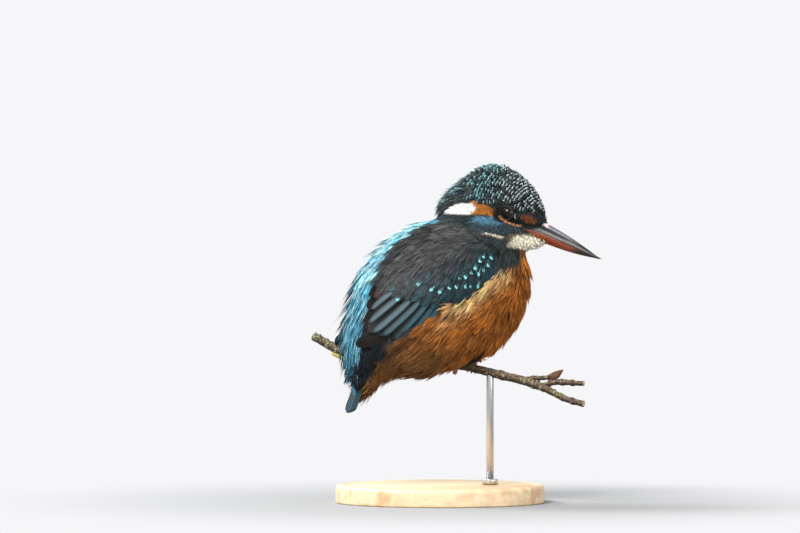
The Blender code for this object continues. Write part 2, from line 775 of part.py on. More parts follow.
def main():
    clear_scene()
    parts = collection("common_kingfisher")
    cutters = collection("cutters")

    body = whole_body(cutters)
    trunk = parted(body, "trunk", parts, ceiling=NECK_FLOOR)
    neck = parted(body, "neck", parts, floor=NECK_FLOOR, ceiling=NECK_CEILING)
    head = parted(body, "head", parts, floor=NECK_CEILING)
    bpy.data.objects.remove(body)

    wings, trunk_rooms, head_rooms = [], [], []
    for side, word in ((LEFT, "left"), (RIGHT, "right")):
        wings.append(wing(side, word, parts))
        trunk_rooms.append(wing_room("room_trunk_wing_" + word, side, cutters, WING_CUT_OUT_TRUNK))
        head_rooms.append(wing_room("room_head_wing_" + word, side, cutters, WING_CUT_OUT_HEAD))

    perch = branch("perch", parts)
    perch_room = branch("room_perch", cutters, GAP)
    legs, leg_rooms = [], [feet_room(cutters)]
    for side, word in ((LEFT, "left"), (RIGHT, "right")):
        legs.append(leg("leg_" + word, side, parts))
        leg_rooms.append(shank("room_leg_" + word, side, cutters, GAP))
    tail = tail_slab("tail", parts)
    tail_room = tail_slab("room_tail", cutters, GAP)
    eyes, eye_rooms = [], []
    for side, word in ((LEFT, "left"), (RIGHT, "right")):
        eyes.append(eye(side, "eye_" + word, parts))
        eye_rooms.append(eye(side, "room_eye_" + word, cutters, EYE_RADIUS + GAP))
    bill_upper = half_bill("bill_upper", parts, upper=True)
    bill_lower = half_bill("bill_lower", parts, upper=False)
    bill_rooms = [
        half_bill("room_bill_upper", cutters, upper=True, grow=BILL_ROOM),
        half_bill("room_bill_lower", cutters, upper=False, grow=BILL_ROOM),
    ]

    cut(trunk, *trunk_rooms, perch_room, tail_room, *leg_rooms)
    cut(neck, *head_rooms)
    cut(head, *head_rooms, *eye_rooms, *bill_rooms)
    base, rod, ferrule = stand(parts, perch_room)
    all_rooms = [*trunk_rooms, *head_rooms, perch_room, tail_room, *leg_rooms, *eye_rooms, *bill_rooms]
    for cutter in all_rooms:
        as_cutter(cutter, cutters)

    finish([trunk], material("breast_feathers", (0.42, 0.19, 0.07), 0.8))
    finish([neck], material("neck_feathers", (0.75, 0.70, 0.60), 0.8))
    finish([head], material("crown_feathers", (0.04, 0.10, 0.11), 0.7))
    finish([slab for slabs in wings for slab in slabs], material("wing_feathers", (0.06, 0.13, 0.15), 0.6))
    finish([tail], material("tail_feathers", (0.04, 0.16, 0.24), 0.5))
    finish([bill_upper], material("bill_black", (0.03, 0.03, 0.04), 0.3))
    finish([bill_lower], material("bill_orange", (0.42, 0.12, 0.04), 0.35))
    finish(eyes, material("eye", (0.01, 0.008, 0.006), 0.05))
    finish(legs, material("leg_skin", (0.30, 0.10, 0.06), 0.5))
    finish([perch], material("bark", (0.25, 0.20, 0.14), 0.9))
    finish([base], material("stand_wood", (0.62, 0.50, 0.36), 0.5))
    finish([rod, ferrule], material("stand_metal", (0.55, 0.55, 0.56), 0.3, 1.0))


main()
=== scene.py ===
"""The looks of a perched common kingfisher: skin, plumage, bill, eyes, feet, branch and display stand.

Lengths are millimetres until a mesh is made, in the frame's own axes. A trunk place is (a, w, z): a ahead
along the trunk, w to the bird's left, z up. A head place is (s, b, z): s ahead of the eyes along the
head, b to its left, z up. Shapes on one side of the bird are mirrored to the other by the sign of w or b.
"""

import math

import bmesh
import bpy
import numpy as np
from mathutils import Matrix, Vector
from mathutils.bvhtree import BVHTree


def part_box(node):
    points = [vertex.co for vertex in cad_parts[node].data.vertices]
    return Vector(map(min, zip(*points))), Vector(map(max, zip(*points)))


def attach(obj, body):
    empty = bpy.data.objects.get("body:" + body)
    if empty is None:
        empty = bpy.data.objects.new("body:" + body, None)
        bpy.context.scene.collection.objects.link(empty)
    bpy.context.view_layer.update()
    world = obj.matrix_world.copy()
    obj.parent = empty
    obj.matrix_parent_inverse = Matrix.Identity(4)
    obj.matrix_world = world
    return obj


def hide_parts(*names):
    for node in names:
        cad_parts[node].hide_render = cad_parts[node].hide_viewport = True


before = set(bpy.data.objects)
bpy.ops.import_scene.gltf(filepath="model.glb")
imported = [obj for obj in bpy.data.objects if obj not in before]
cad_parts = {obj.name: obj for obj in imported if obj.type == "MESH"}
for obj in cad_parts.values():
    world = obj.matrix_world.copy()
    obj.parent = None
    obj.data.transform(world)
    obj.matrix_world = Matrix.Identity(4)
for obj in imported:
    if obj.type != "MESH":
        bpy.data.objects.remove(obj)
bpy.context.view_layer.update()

MM = 0.001
UP = np.array([0.0, 0.0, 1.0])
LEFT, RIGHT = 1, -1
PLUMAGE_SEED, WING_SEED, CRUST_SEED = 7, 20, 5
SIDES = ((LEFT, "left"), (RIGHT, "right"))
WINGS = [f"wing_{word}_{part}" for _, word in SIDES for part in ("coverts", "secondaries", "primaries")]
FLESH = ["trunk", "neck", "head"]


# ---------------------------------------------------------------- curves and colours

def ease(x):
    """0 up to 0, 1 from 1 on, smooth between."""
    x = np.clip(x, 0.0, 1.0)
    return x * x * (3 - 2 * x)


def rise(value, start, over):
    """0 up to start, 1 from start + over on."""
    return ease((value - start) / over)


def fall(value, end, over):
    """1 up to end - over, 0 from end on."""
    return ease((end - value) / over)


def past(distance, soft):
    """How far a distance is past an edge: a half on the edge, 1 well past it."""
    return ease(0.5 + distance / soft)


def hump(value, middle, width):
    return np.exp(-(((value - middle) / width) ** 2))


def unit(vectors):
    return vectors / np.maximum(np.linalg.norm(vectors, axis=-1, keepdims=True), 1e-9)


def through(rows, steps):
    """Rows between the table's own, on a Catmull-Rom curve through each column."""
    rows = np.asarray(rows, float)
    ends = np.vstack([2 * rows[0] - rows[1], rows, 2 * rows[-1] - rows[-2]])
    t = (np.arange(steps) / steps)[:, None]
    found = []
    for before, start, end, after in zip(ends, ends[1:], ends[2:], ends[3:]):
        bend = (2 * before - 5 * start + 4 * end - after) * t**2
        twist = (3 * start - before - 3 * end + after) * t**3
        found.append(0.5 * (2 * start + (end - before) * t + bend + twist))
    return np.vstack([*found, rows[-1:]])


def evenly(rows, count):
    """So many points, evenly spread along a smooth curve through the rows."""
    fine = through(rows, 12)
    length = np.concatenate([[0], np.cumsum(np.linalg.norm(np.diff(fine, axis=0), axis=1))])
    at = np.linspace(0, length[-1], count)
    return np.stack([np.interp(at, length, column) for column in fine.T], 1)


def line_at(value, line):
    """The second column of a line at a value of its first."""
    table = np.array(sorted(line))
    return np.interp(value, table[:, 0], table[:, 1])


def ripple(points, size, seed=0.0):
    """A smooth uneven value between -1 and 1 that changes over about size."""
    x, y, z = np.moveaxis(points * (2 * math.pi / size), -1, 0)
    return (
        np.sin(x + 1.7 * np.sin(0.8 * y + seed) + seed)
        + np.sin(y * 1.1 + 1.3 * np.sin(0.9 * z + 2 * seed))
        + np.sin(z * 0.9 + 1.5 * np.sin(0.7 * x + 3 * seed))
    ) / 3


def linear(red, green, blue):
    """A colour told as 0 to 255 on a screen, as linear light."""
    share = np.array([red, green, blue]) / 255
    return np.where(share <= 0.04045, share / 12.92, ((share + 0.055) / 1.055) ** 2.4)


def grey(value):
    return (value, value, value)


def paint(base, colour, amount):
    return base + (colour - base) * np.asarray(amount)[..., None]


def layered(colour, *layers):
    """A colour under layers of others, each told as a colour and its amount."""
    for other, amount in layers:
        colour = paint(colour, other, amount)
    return colour


# ---------------------------------------------------------------- places on the bird

def coordinates(obj, name="co"):
    found = np.zeros(len(obj.data.vertices) * 3, np.float32)
    obj.data.vertices.foreach_get(name, found)
    return found.reshape(-1, 3).astype(float)


def surface(obj):
    """A mesh's points and normals."""
    return coordinates(obj) / MM, coordinates(obj, "normal")


def node_points(name):
    return coordinates(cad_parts[name]) / MM


def triangles_of(mesh):
    mesh.calc_loop_triangles()
    found = np.zeros(len(mesh.loop_triangles) * 3, np.int32)
    mesh.loop_triangles.foreach_get("vertices", found)
    return found.reshape(-1, 3)


def middle_of(name):
    low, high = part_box(name)
    return np.array((low + high) / 2) / MM


def turned_to(ways, ahead):
    """Ways told along a part of the bird that faces ahead, in the frame's axes."""
    a, w, z = np.moveaxis(np.asarray(ways, float), -1, 0)
    c, s = ahead
    return np.stack([a * c - w * s, a * s + w * c, z], axis=-1)


def told_along(points, ahead):
    x, y, z = np.moveaxis(points, -1, 0)
    c, s = ahead
    return np.stack([x * c + y * s, y * c - x * s, z], axis=-1)


TRUNK_YAW = math.radians(22.0)
TRUNK_AHEAD = np.array([math.cos(TRUNK_YAW), math.sin(TRUNK_YAW)])
EYES = {LEFT: middle_of("eye_left"), RIGHT: middle_of("eye_right")}
EYE_LINE = EYES[LEFT] - EYES[RIGHT]
EYE_SET_BACK = 0.6
HEAD_YAW = math.atan2(-EYE_LINE[0], EYE_LINE[1])
HEAD_AHEAD = np.array([math.cos(HEAD_YAW), math.sin(HEAD_YAW)])
HEAD_AT = np.array([*((EYES[LEFT] + EYES[RIGHT])[:2] / 2 + EYE_SET_BACK * HEAD_AHEAD), 0.0])


def to_trunk(points):
    return told_along(points, TRUNK_AHEAD)


def from_trunk(places):
    return turned_to(places, TRUNK_AHEAD)


def to_head(points):
    return told_along(points - HEAD_AT, HEAD_AHEAD)


def turn_from_head(ways):
    return turned_to(ways, HEAD_AHEAD)


def from_head(places):
    return turn_from_head(places) + HEAD_AT


def trunk_axes(points):
    return np.moveaxis(to_trunk(points), -1, 0)


def head_axes(points):
    return np.moveaxis(to_head(points), -1, 0)


# ---------------------------------------------------------------- shader nodes and materials

def put(tree, node, sockets):
    """Sets or links a node's sockets: a value is set, another node's output is linked."""
    for name, value in sockets.items():
        if isinstance(value, bpy.types.NodeSocket):
            tree.links.new(value, node.inputs[name])
        else:
            node.inputs[name].default_value = value


def new_node(tree, kind, sockets, **settings):
    made = tree.nodes.new("ShaderNode" + kind)
    for name, value in settings.items():
        setattr(made, name, value)
    put(tree, made, sockets)
    return made


def new_material(name):
    made = bpy.data.materials.new(name)
    made.use_nodes = True
    return made, made.node_tree, made.node_tree.nodes["Principled BSDF"]


def noise(tree, size, detail=4.0, stretch=(1.0, 1.0, 1.0)):
    """A noise value whose cells are about size millimetres across."""
    place = new_node(tree, "TexCoord", {}).outputs["Object"]
    mapped = new_node(tree, "Mapping", {"Scale": stretch, "Vector": place}).outputs[0]
    sockets = {"Scale": 1 / (size * MM), "Detail": detail, "Vector": mapped}
    return new_node(tree, "TexNoise", sockets).outputs["Fac"]


def ramp(tree, value, stops):
    made = new_node(tree, "ValToRGB", {"Fac": value})
    points = made.color_ramp.elements
    while len(points) < len(stops):
        points.new(0.5)
    for point, (at, colour) in zip(points, stops):
        point.position = at
        point.color = (*colour, 1.0)
    return made.outputs["Color"]


def grey_ramp(tree, value, low, high, start=0.3, end=0.7):
    return ramp(tree, value, [(start, grey(low)), (end, grey(high))])


def times(tree, first, second):
    sockets = {"Factor": 1.0, 6: first, 7: second}
    return new_node(tree, "Mix", sockets, data_type="RGBA", blend_type="MULTIPLY").outputs[2]


def between(tree, value, low, high):
    return new_node(tree, "MapRange", {"To Min": low, "To Max": high, "Value": value}).outputs[0]


def bump(tree, shader, height, depth, strength=1.0):
    made = new_node(tree, "Bump", {"Strength": strength, "Distance": depth * MM, "Height": height})
    put(tree, shader, {"Normal": made.outputs[0]})


ROUGHNESS_CHANGE, LEAST_ROUGHNESS = 0.1, 0.02


def painted_material(name, roughness, specular, mottle_size, mottle=0.2, sheen=0.0, coat=0.0, bumps=None):
    """A material that shows the painted colours under a fine mottle. bumps is a size and a depth."""
    made, tree, shader = new_material(name)
    painted = new_node(tree, "Attribute", {}, attribute_name="coat").outputs["Color"]
    mottled = grey_ramp(tree, noise(tree, mottle_size), 1 - mottle, 1.0)
    smoothest = max(roughness - ROUGHNESS_CHANGE, LEAST_ROUGHNESS)
    put(tree, shader, {
        "Base Color": times(tree, painted, mottled),
        "Roughness": between(tree, noise(tree, 2 * mottle_size), smoothest, roughness + ROUGHNESS_CHANGE),
        "Specular IOR Level": specular,
        "Sheen Weight": sheen,
        "Sheen Roughness": 0.5,
        "Coat Weight": coat,
        "Coat Roughness": 0.08,
    })
    if bumps:
        bump(tree, shader, noise(tree, bumps[0]), bumps[1])
    return made


def vane_material(name):
    """A flat feather: painted, with fine barbs that slant from its shaft."""
    made = painted_material(name, 0.55, 0.15, 1.5, mottle=0.15)
    tree = made.node_tree
    barb = new_node(tree, "Attribute", {}, attribute_name="barb").outputs["Vector"]
    sockets = {"Scale": 0.9, "Distortion": 0.6, "Vector": barb}
    wave = new_node(tree, "TexWave", sockets, bands_direction="X")
    bump(tree, tree.nodes["Principled BSDF"], wave.outputs["Fac"], depth=0.06, strength=0.7)
    return made


WOOD_RINGS = ((0.35, linear(206, 176, 138)), (0.5, linear(222, 196, 160)), (0.62, linear(196, 162, 120)))


def wood_material():
    made, tree, shader = new_material("maple")
    grain = noise(tree, 9.0, 6.0, (0.12, 1.6, 1.0))
    pores = grey_ramp(tree, noise(tree, 0.7, 2.0, (0.15, 1.0, 1.0)), 0.86, 1.0, end=0.55)
    colour = times(tree, ramp(tree, grain, WOOD_RINGS), pores)
    put(tree, shader, {"Base Color": colour, "Roughness": between(tree, grain, 0.38, 0.52)})
    bump(tree, shader, grain, depth=0.05)
    return made


def steel_material():
    made, tree, shader = new_material("brushed_steel")
    brushed = noise(tree, 0.5, 3.0, (1.0, 1.0, 14.0))
    colour, roughness = grey_ramp(tree, brushed, 0.50, 0.62), grey_ramp(tree, brushed, 0.24, 0.36)
    put(tree, shader, {"Base Color": colour, "Roughness": roughness, "Metallic": 1.0})
    bump(tree, shader, brushed, depth=0.01)
    return made


# ---------------------------------------------------------------- camera, light and floor

VIEW_WIDTH, VIEW_DISTANCE, VIEW_RISE = 352.0, 4000.0, math.radians(1.5)
VIEW_MIDDLE = np.array([-17.6, 0.0, 104.0])
SENSOR, FAR_CLIP = 36.0, 100.0
BACKDROP = (*linear(246, 246, 248), 1.0)
SKY, SKY_STRENGTH = (0.95, 0.98, 1.0, 1.0), 0.8
LIGHT_AIM = Vector((-5, 0, 100))
LIGHTS = (
    # name, place, size, power, colour
    ("key", (-700, -1200, 1300), 800, 46.0, (1.0, 0.98, 0.95)),
    ("rim", (-1200, 500, 1000), 700, 30.0, (0.95, 0.98, 1.0)),
    ("fill", (1300, -1200, 300), 1400, 18.0, (1.0, 1.0, 1.0)),
)
FLOOR_RADIUS, FLOOR_CLEAR, FLOOR_GONE = 6000.0, 60.0, 230.0
FLOOR_ALBEDO, FLOOR_COOLNESS = 0.30, 1.01


def aimed(name, data, place, back):
    """A camera or a light at a place, looking away from back."""
    obj = bpy.data.objects.new(name, data)
    obj.location = place
    obj.rotation_euler = back.to_track_quat("Z", "Y").to_euler()
    bpy.context.scene.collection.objects.link(obj)
    return obj


def camera():
    data = bpy.data.cameras.new("camera")
    data.sensor_width = SENSOR
    data.lens = SENSOR * VIEW_DISTANCE / VIEW_WIDTH
    data.clip_end = FAR_CLIP
    back = Vector((0.0, -math.cos(VIEW_RISE), math.sin(VIEW_RISE)))
    place = Vector(VIEW_MIDDLE * MM) + back * VIEW_DISTANCE * MM
    bpy.context.scene.camera = aimed("camera", data, place, back)


def seen_mix(tree, seen, lit):
    """A shader that the camera sees as one thing and that lights the object as another."""
    path = new_node(tree, "LightPath", {}).outputs["Is Camera Ray"]
    return new_node(tree, "MixShader", {0: path, 1: lit.outputs[0], 2: seen.outputs[0]})


def studio():
    bpy.context.scene.view_settings.view_transform = "Standard"
    world = bpy.data.worlds.new("studio")
    bpy.context.scene.world = world
    world.use_nodes = True
    tree = world.node_tree
    lit = tree.nodes["Background"]
    put(tree, lit, {"Color": SKY, "Strength": SKY_STRENGTH})
    seen = new_node(tree, "Background", {"Color": BACKDROP})
    put(tree, tree.nodes["World Output"], {"Surface": seen_mix(tree, seen, lit).outputs[0]})
    for name, place, size, power, colour in LIGHTS:
        data = bpy.data.lights.new(name, "AREA")
        data.shape = "DISK"
        data.size = size * MM
        data.energy = power
        data.color = colour
        aimed(name, data, Vector(place) * MM, Vector(place) - LIGHT_AIM)


def floor():
    """A pale floor that fades into the backdrop away from the stand."""
    bpy.ops.mesh.primitive_circle_add(vertices=128, radius=FLOOR_RADIUS * MM, fill_type="NGON")
    obj = bpy.context.object
    obj.name = "studio_floor"
    made, tree, matt = new_material("studio_floor")
    cool = (FLOOR_ALBEDO, FLOOR_ALBEDO, FLOOR_ALBEDO * FLOOR_COOLNESS, 1.0)
    put(tree, matt, {"Base Color": cool, "Roughness": 0.9, "Specular IOR Level": 0.1})
    glow = new_node(tree, "Emission", {"Color": BACKDROP})
    dark = new_node(tree, "BsdfDiffuse", {"Color": (*grey(FLOOR_ALBEDO), 1.0)})
    far = seen_mix(tree, glow, dark)
    place = new_node(tree, "TexCoord", {}).outputs["Object"]
    length = new_node(tree, "VectorMath", {0: place}, operation="LENGTH").outputs["Value"]
    sockets = {"From Min": FLOOR_CLEAR * MM, "From Max": FLOOR_GONE * MM, "Value": length}
    share = new_node(tree, "MapRange", sockets, interpolation_type="SMOOTHSTEP").outputs[0]
    mix = new_node(tree, "MixShader", {0: share, 1: matt.outputs[0], 2: far.outputs[0]})
    put(tree, tree.nodes["Material Output"], {"Surface": mix.outputs[0]})
    obj.data.materials.append(made)


# ---------------------------------------------------------------- markings

CROWN_DARK, CROWN_BAR, CROWN_GLINT = linear(34, 46, 48), linear(214, 232, 228), linear(112, 200, 210)
EAR_ORANGE, LORE_ORANGE, EYE_LINE_ORANGE = linear(170, 104, 40), linear(104, 60, 28), linear(206, 142, 92)
WHITE, CREAM, BUFF = linear(255, 252, 244), linear(255, 244, 214), linear(140, 122, 100)
MALAR_BLUE, MALAR_DARK, LORE_BLACK = linear(98, 158, 186), linear(52, 58, 60), linear(12, 11, 12)
ORANGE, ORANGE_BRIGHT, ORANGE_DEEP = linear(184, 110, 38), linear(255, 206, 142), linear(108, 60, 24)
# The second colour is painted shadow, for gaps where shade falls.
BROWN, PAINTED_SHADOW = linear(112, 78, 40), linear(34, 24, 22)
AZURE, AZURE_DEEP, AZURE_PALE = linear(92, 190, 222), linear(20, 84, 114), linear(190, 244, 252)
MANTLE, SCAPULAR, SCAPULAR_DARK = linear(64, 65, 66), linear(98, 98, 98), linear(40, 38, 40)
COVERT, COVERT_DARK, SHOULDER = linear(34, 66, 74), linear(16, 32, 38), linear(54, 66, 66)
WING_BLACK, WING_BROWN = linear(12, 10, 10), linear(42, 34, 32)
VANE_GREY, VANE_TEAL, SPOT = linear(80, 99, 108), linear(48, 88, 100), linear(160, 240, 246)
RUMP_SIDE, TAIL_BLUE = linear(8, 24, 32), linear(26, 82, 98)

# The head's coat lies past this plane, told as a place on it and its normal.
HEAD_PLANE, HEAD_PLANE_WAY = np.array([0.0, 0.0, 124.2]), np.array([0.28, 0.0, 0.96])
RUMP_TOP = 74

# Strokes on the side of the head, each point as s, z and the stroke's radius there.
EAR = ((-4.6, 126.4, 0.8), (-7.8, 128.3, 1.9), (-11.5, 129.6, 2.9), (-13.6, 129.7, 2.9))
NECK_WHITE = ((-15.4, 129.3, 2.5), (-19.8, 129.2, 2.3), (-25.0, 128.7, 1.5), (-28.0, 128.2, 0.5))
MALAR = ((-11.3, 124.0, 2.1), (-7.2, 122.7, 3.2), (-3.9, 121.6, 3.2), (0.1, 120.8, 2.5), (4.7, 119.9, 1.6))
# A painted highlight: the brightest blue on the malar stripe's upper edge.
MALAR_HIGHLIGHT = ((-11.0, 124.8, 1.0), (-7.0, 124.0, 1.9), (-3.0, 123.2, 1.0))
CHIN = ((4.2, 114.8, 2.9), (6.3, 114.3, 3.5), (10.5, 113.7, 3.2), (13.5, 113.9, 2.7))
CREAM_LINE = ((-6.0, 118.9, 0.25), (-3.5, 118.0, 0.35), (-1.0, 116.8, 0.6))
LORE = ((5.6, 125.9, 0.9), (8.0, 125.0, 1.9), (10.2, 123.8, 1.3))
BLACK_LORE = ((-2.0, 127.0, 3.7), (1.5, 124.8, 2.0), (4.5, 123.4, 1.0), (9.0, 122.5, 0.9), (12.5, 122.1, 0.9))
FACE_LINE = (
    (-3.6, 126.0, 0.45), (-2.0, 124.6, 0.4), (0.0, 123.4, 0.35), (2.5, 122.3, 0.35), (5.0, 121.9, 0.35),
)
FACE_STROKES = (
    # colour, stroke, softness of its edge
    (EAR_ORANGE, EAR, 0.9),
    (WHITE, NECK_WHITE, 0.9),
    (CREAM, CREAM_LINE, 0.5),
    (LORE_BLACK, BLACK_LORE, 0.7),
    (LORE_ORANGE, LORE, 0.7),
    (EYE_LINE_ORANGE, FACE_LINE, 0.4),
)
CHIN_SOFTNESS, MALAR_BAR = 1.2, 1.1

# Lines on the side of the head, each point as s, z.
UNDER_FACE = (
    (16.0, 119.4), (4.0, 118.2), (-4.0, 118.6), (-8.0, 120.2), (-14.0, 122.6), (-20.0, 125.0), (-34.0, 125.0),
)
CROWN_LINE = (
    (14.0, 124.5), (10.0, 127.0), (6.0, 128.6), (1.0, 131.0), (-6.0, 131.2), (-14.0, 133.2), (-34.0, 130.0),
)

# Strokes and lines on the side of the trunk, each point as a, z and for a stroke its radius.
SHOULDER_PATCH = (
    (0.0, 121.0, 4.5), (8.0, 117.0, 6.0), (17.0, 112.5, 6.5), (24.0, 110.5, 5.4), (29.0, 109.0, 3.6),
)
# A painted shadow in the gap where the leg enters the belly feathers.
LEG_GAP_SHADOW = ((16.5, 71.5, 0.6), (14.0, 67.8, 1.8), (11.5, 64.6, 2.3))
WING_EDGE = (
    (-44.0, 69.5), (-36.0, 69.6), (-27.7, 71.2), (-20.0, 77.2), (-13.0, 82.9), (-4.6, 89.4), (3.0, 92.6),
    (8.4, 95.2), (13.0, 99.0), (18.3, 102.6), (24.0, 105.0), (29.0, 106.5), (36.0, 109.5), (44.0, 112.5),
)
FRINGE_OVER, FRINGE_UNDER, FRINGE_WIDE = 1.5, 2.0, 5.5

# Lines told by height, each point as z and a place ahead, or z and a half width.
TAIL_COVERT_EDGE = (
    (40.0, -43.5), (45.0, -41.5), (47.4, -40.0), (54.9, -36.8), (58.4, -35.0), (63.7, -33.0), (72.0, -28.0),
)
AZURE_HALF_WIDTHS = (
    (40.0, 0.0), (62.0, 0.0), (65.0, 3.0), (69.0, 7.5), (74.0, 10.0), (80.0, 10.8), (100.0, 9.0),
    (112.0, 6.6), (122.0, 5.2), (130.0, 5.0),
)


def inside(u, v, stroke, soft=0.7):
    """1 inside a stroke, 0 outside, with a soft edge."""
    path = np.array(stroke, float)
    found = np.full(np.shape(u), 1e9)
    for (u0, v0, r0), (u1, v1, r1) in zip(path[:-1], path[1:]):
        du, dv = u1 - u0, v1 - v0
        t = np.clip(((u - u0) * du + (v - v0) * dv) / (du * du + dv * dv), 0, 1)
        found = np.minimum(found, np.hypot(u - u0 - t * du, v - v0 - t * dv) - (r0 + (r1 - r0) * t))
    return past(-found, soft)


def on_head(points):
    s, _, z = head_axes(points)
    return np.maximum(past((points - HEAD_PLANE) @ HEAD_PLANE_WAY, 2.0), inside(s, z, CHIN, CHIN_SOFTNESS))


def azure_share(points):
    """How much a place belongs to the blue stripe down the back."""
    a, w, z = trunk_axes(points)
    behind = ease((6 - a - 0.35 * np.maximum(0, 122 - z)) / 4)
    back = fall(a, line_at(z, TAIL_COVERT_EDGE), 1.5) * (z < RUMP_TOP) + (z >= RUMP_TOP)
    wide = line_at(z, AZURE_HALF_WIDTHS) + 0.6 * ripple(points, 6.0)
    return past(wide - np.abs(w), 1.5) * behind * back * (1 - on_head(points))


def trunk_colour(points):
    """The markings of trunk and neck, with painted shadow in the gap where the leg enters the feathers and
    under the wing's lower edge at the rear.
    """
    a, w, z = trunk_axes(points)
    side = np.abs(w)
    edge = z - line_at(a, WING_EDGE)
    fringe = hump(np.minimum(edge + FRINGE_UNDER, 0), 0, FRINGE_WIDE) * rise(a, -14, 14)
    fringe = fringe * rise(side, 12, 8) * fall(a, 30, 8)
    return layered(
        ORANGE,
        (ORANGE_DEEP, ease(0.4 + 0.8 * ripple(points, 17.0, 1.0)) * 0.55),
        (ORANGE_DEEP, rise(a, 26, 12) * fall(z, 100, 30) * 0.4),
        (BROWN, fall(z, 82, 18) * fall(a, 16, 24) * 0.9),
        (ORANGE_BRIGHT, fringe * np.clip(0.8 + 0.4 * ripple(points, 7.0, 2.0), 0, 1)),
        # painted shadow in the gap by the leg
        (PAINTED_SHADOW, inside(a, z, LEG_GAP_SHADOW, 1.2) * rise(side, 8, 4)),
        # painted shadow under the wing's lower edge, towards the rear
        (PAINTED_SHADOW, hump(edge, -FRINGE_UNDER, 2.5) * fall(a, -18, 6) * 0.8),
        (MANTLE, past(edge - FRINGE_OVER, 1.5) * fall(a, 33, 3)),
        (SHOULDER, inside(a, z, SHOULDER_PATCH, 2.0) * rise(side, 9, 4)),
        (BUFF, rise(z, 107, 4) * rise(a, 33, 3) * 0.5),
        (RUMP_SIDE, fall(a, line_at(z, TAIL_COVERT_EDGE), 1.5) * fall(z, RUMP_TOP, 3)),
        (AZURE, azure_share(points)),
    )


def head_colour(points):
    """The markings of the head, with a painted highlight on the upper edge of the malar stripe."""
    s, b, z = head_axes(points)
    chin = inside(s, z, CHIN, CHIN_SOFTNESS)
    throat = layered(BUFF, (CREAM, chin), (SHOULDER, fall(s, 1.5, 2) * rise(np.abs(b), 5, 3) * (1 - chin)))
    bars = 0.35 + 0.65 * ease(0.5 + 0.9 * np.sin(2 * math.pi * (s + 0.25 * z) / MALAR_BAR))
    return layered(
        CROWN_DARK,
        (throat, past(line_at(s, UNDER_FACE) - z, 1.0)),
        (paint(MALAR_DARK, MALAR_BLUE, bars * 0.12), inside(s, z, MALAR)),
        # painted highlight on the malar stripe
        (MALAR_BLUE, inside(s, z, MALAR_HIGHLIGHT, 1.6) * (0.55 + 0.45 * ripple(points, 1.5))),
        *[(colour, inside(s, z, stroke, soft)) for colour, stroke, soft in FACE_STROKES],
    )


def markings(points):
    return paint(trunk_colour(points), head_colour(points), on_head(points))


def teal_share(points):
    """0 on the grey scapulars, 1 on the teal coverts below and ahead of them."""
    a, _, z = trunk_axes(points)
    return past(104 - z + 0.62 * (a + 4) + 3 * ripple(points, 11.0), 20)


# ---------------------------------------------------------------- meshes

def placed(obj, slot, *nodes):
    """Hangs a piece on the root body and hides the CAD nodes that it stands for. slot is not used."""
    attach(obj, "root")
    if nodes:
        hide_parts(*nodes)


def smooth_shaded(obj):
    obj.data.polygons.foreach_set("use_smooth", np.full(len(obj.data.polygons), True))
    obj.data.update()
    return obj


def add_object(name, mesh, material):
    obj = bpy.data.objects.new(name, mesh)
    bpy.context.scene.collection.objects.link(obj)
    mesh.materials.append(material)
    return obj


def put_coordinates(obj, points):
    obj.data.vertices.foreach_set("co", (np.asarray(points) * MM).astype(np.float32).ravel())
    obj.data.update()


def colour_points(obj, colours):
    layer = obj.data.color_attributes.new("coat", "FLOAT_COLOR", "POINT")
    rgba = np.ones((len(obj.data.vertices), 4), np.float32)
    rgba[:, :3] = np.clip(colours, 0, 1)
    layer.data.foreach_set("color", rgba.ravel())


def face_out(obj):
    made = bmesh.new()
    made.from_mesh(obj.data)
    bmesh.ops.recalc_face_normals(made, faces=made.faces)
    made.to_mesh(obj.data)
    made.free()


class Solids:
    """Closed bodies gathered for one piece, each with its colours."""

    def __init__(self):
        self.points, self.faces, self.colours, self.count = [], [], [], 0

    def loft(self, rings, colours):
        """A body through rings of as many points each, with a fan on each end."""
        rings = np.asarray(rings, float)
        colours = np.broadcast_to(np.asarray(colours, float), rings.shape)
        count, around = rings.shape[:2]
        self.points += [rings.reshape(-1, 3), rings[:1].mean(1), rings[-1:].mean(1)]
        self.colours += [colours.reshape(-1, 3), colours[:1].mean(1), colours[-1:].mean(1)]
        start, end = self.count, self.count + (count - 1) * around
        first, last = start + count * around, start + count * around + 1
        for i in range(around):
            j = (i + 1) % around
            for low in range(start, end, around):
                self.faces.append((low + i, low + j, low + around + j, low + around + i))
            self.faces += [(first, start + j, start + i), (last, end + i, end + j)]
        self.count = last + 1

    def piece(self, name, material):
        mesh = bpy.data.meshes.new(name)
        mesh.from_pydata((np.concatenate(self.points) * MM).tolist(), [], self.faces)
        obj = add_object(name, mesh, material)
        face_out(obj)
        colour_points(obj, np.concatenate(self.colours))
        return smooth_shaded(obj)


def turned(solids, profile, colour, place, axis=UP, sides=64):
    """A body turned about an axis through place. Each profile row is a radius and a height."""
    axis = unit(np.array(axis, float))
    across = unit(np.cross(axis, (0.3, 1.0, 0.2)))
    other = np.cross(axis, across)
    angle = np.arange(sides) * 2 * math.pi / sides
    ring = np.cos(angle)[:, None] * across + np.sin(angle)[:, None] * other
    profile, colour = np.asarray(profile, float), np.asarray(colour, float)
    rings = place + ring[None] * profile[:, :1, None] + axis * profile[:, 1:2, None]
    solids.loft(rings, colour if colour.ndim == 1 else colour[:, None])


def tube_rings(path, radii, around, up):
    """Rings round a path. up is a way that the path never follows."""
    path = np.asarray(path, float)
    ahead = unit(np.gradient(path, axis=0))
    side = unit(np.cross(ahead, up))
    top = np.cross(side, ahead)
    angle = np.arange(around) * 2 * math.pi / around
    radii = np.broadcast_to(np.asarray(radii, float), (len(path),))[:, None, None]
    ring = np.cos(angle)[:, None] * side[:, None] + np.sin(angle)[:, None] * top[:, None]
    return path[:, None] + radii * ring


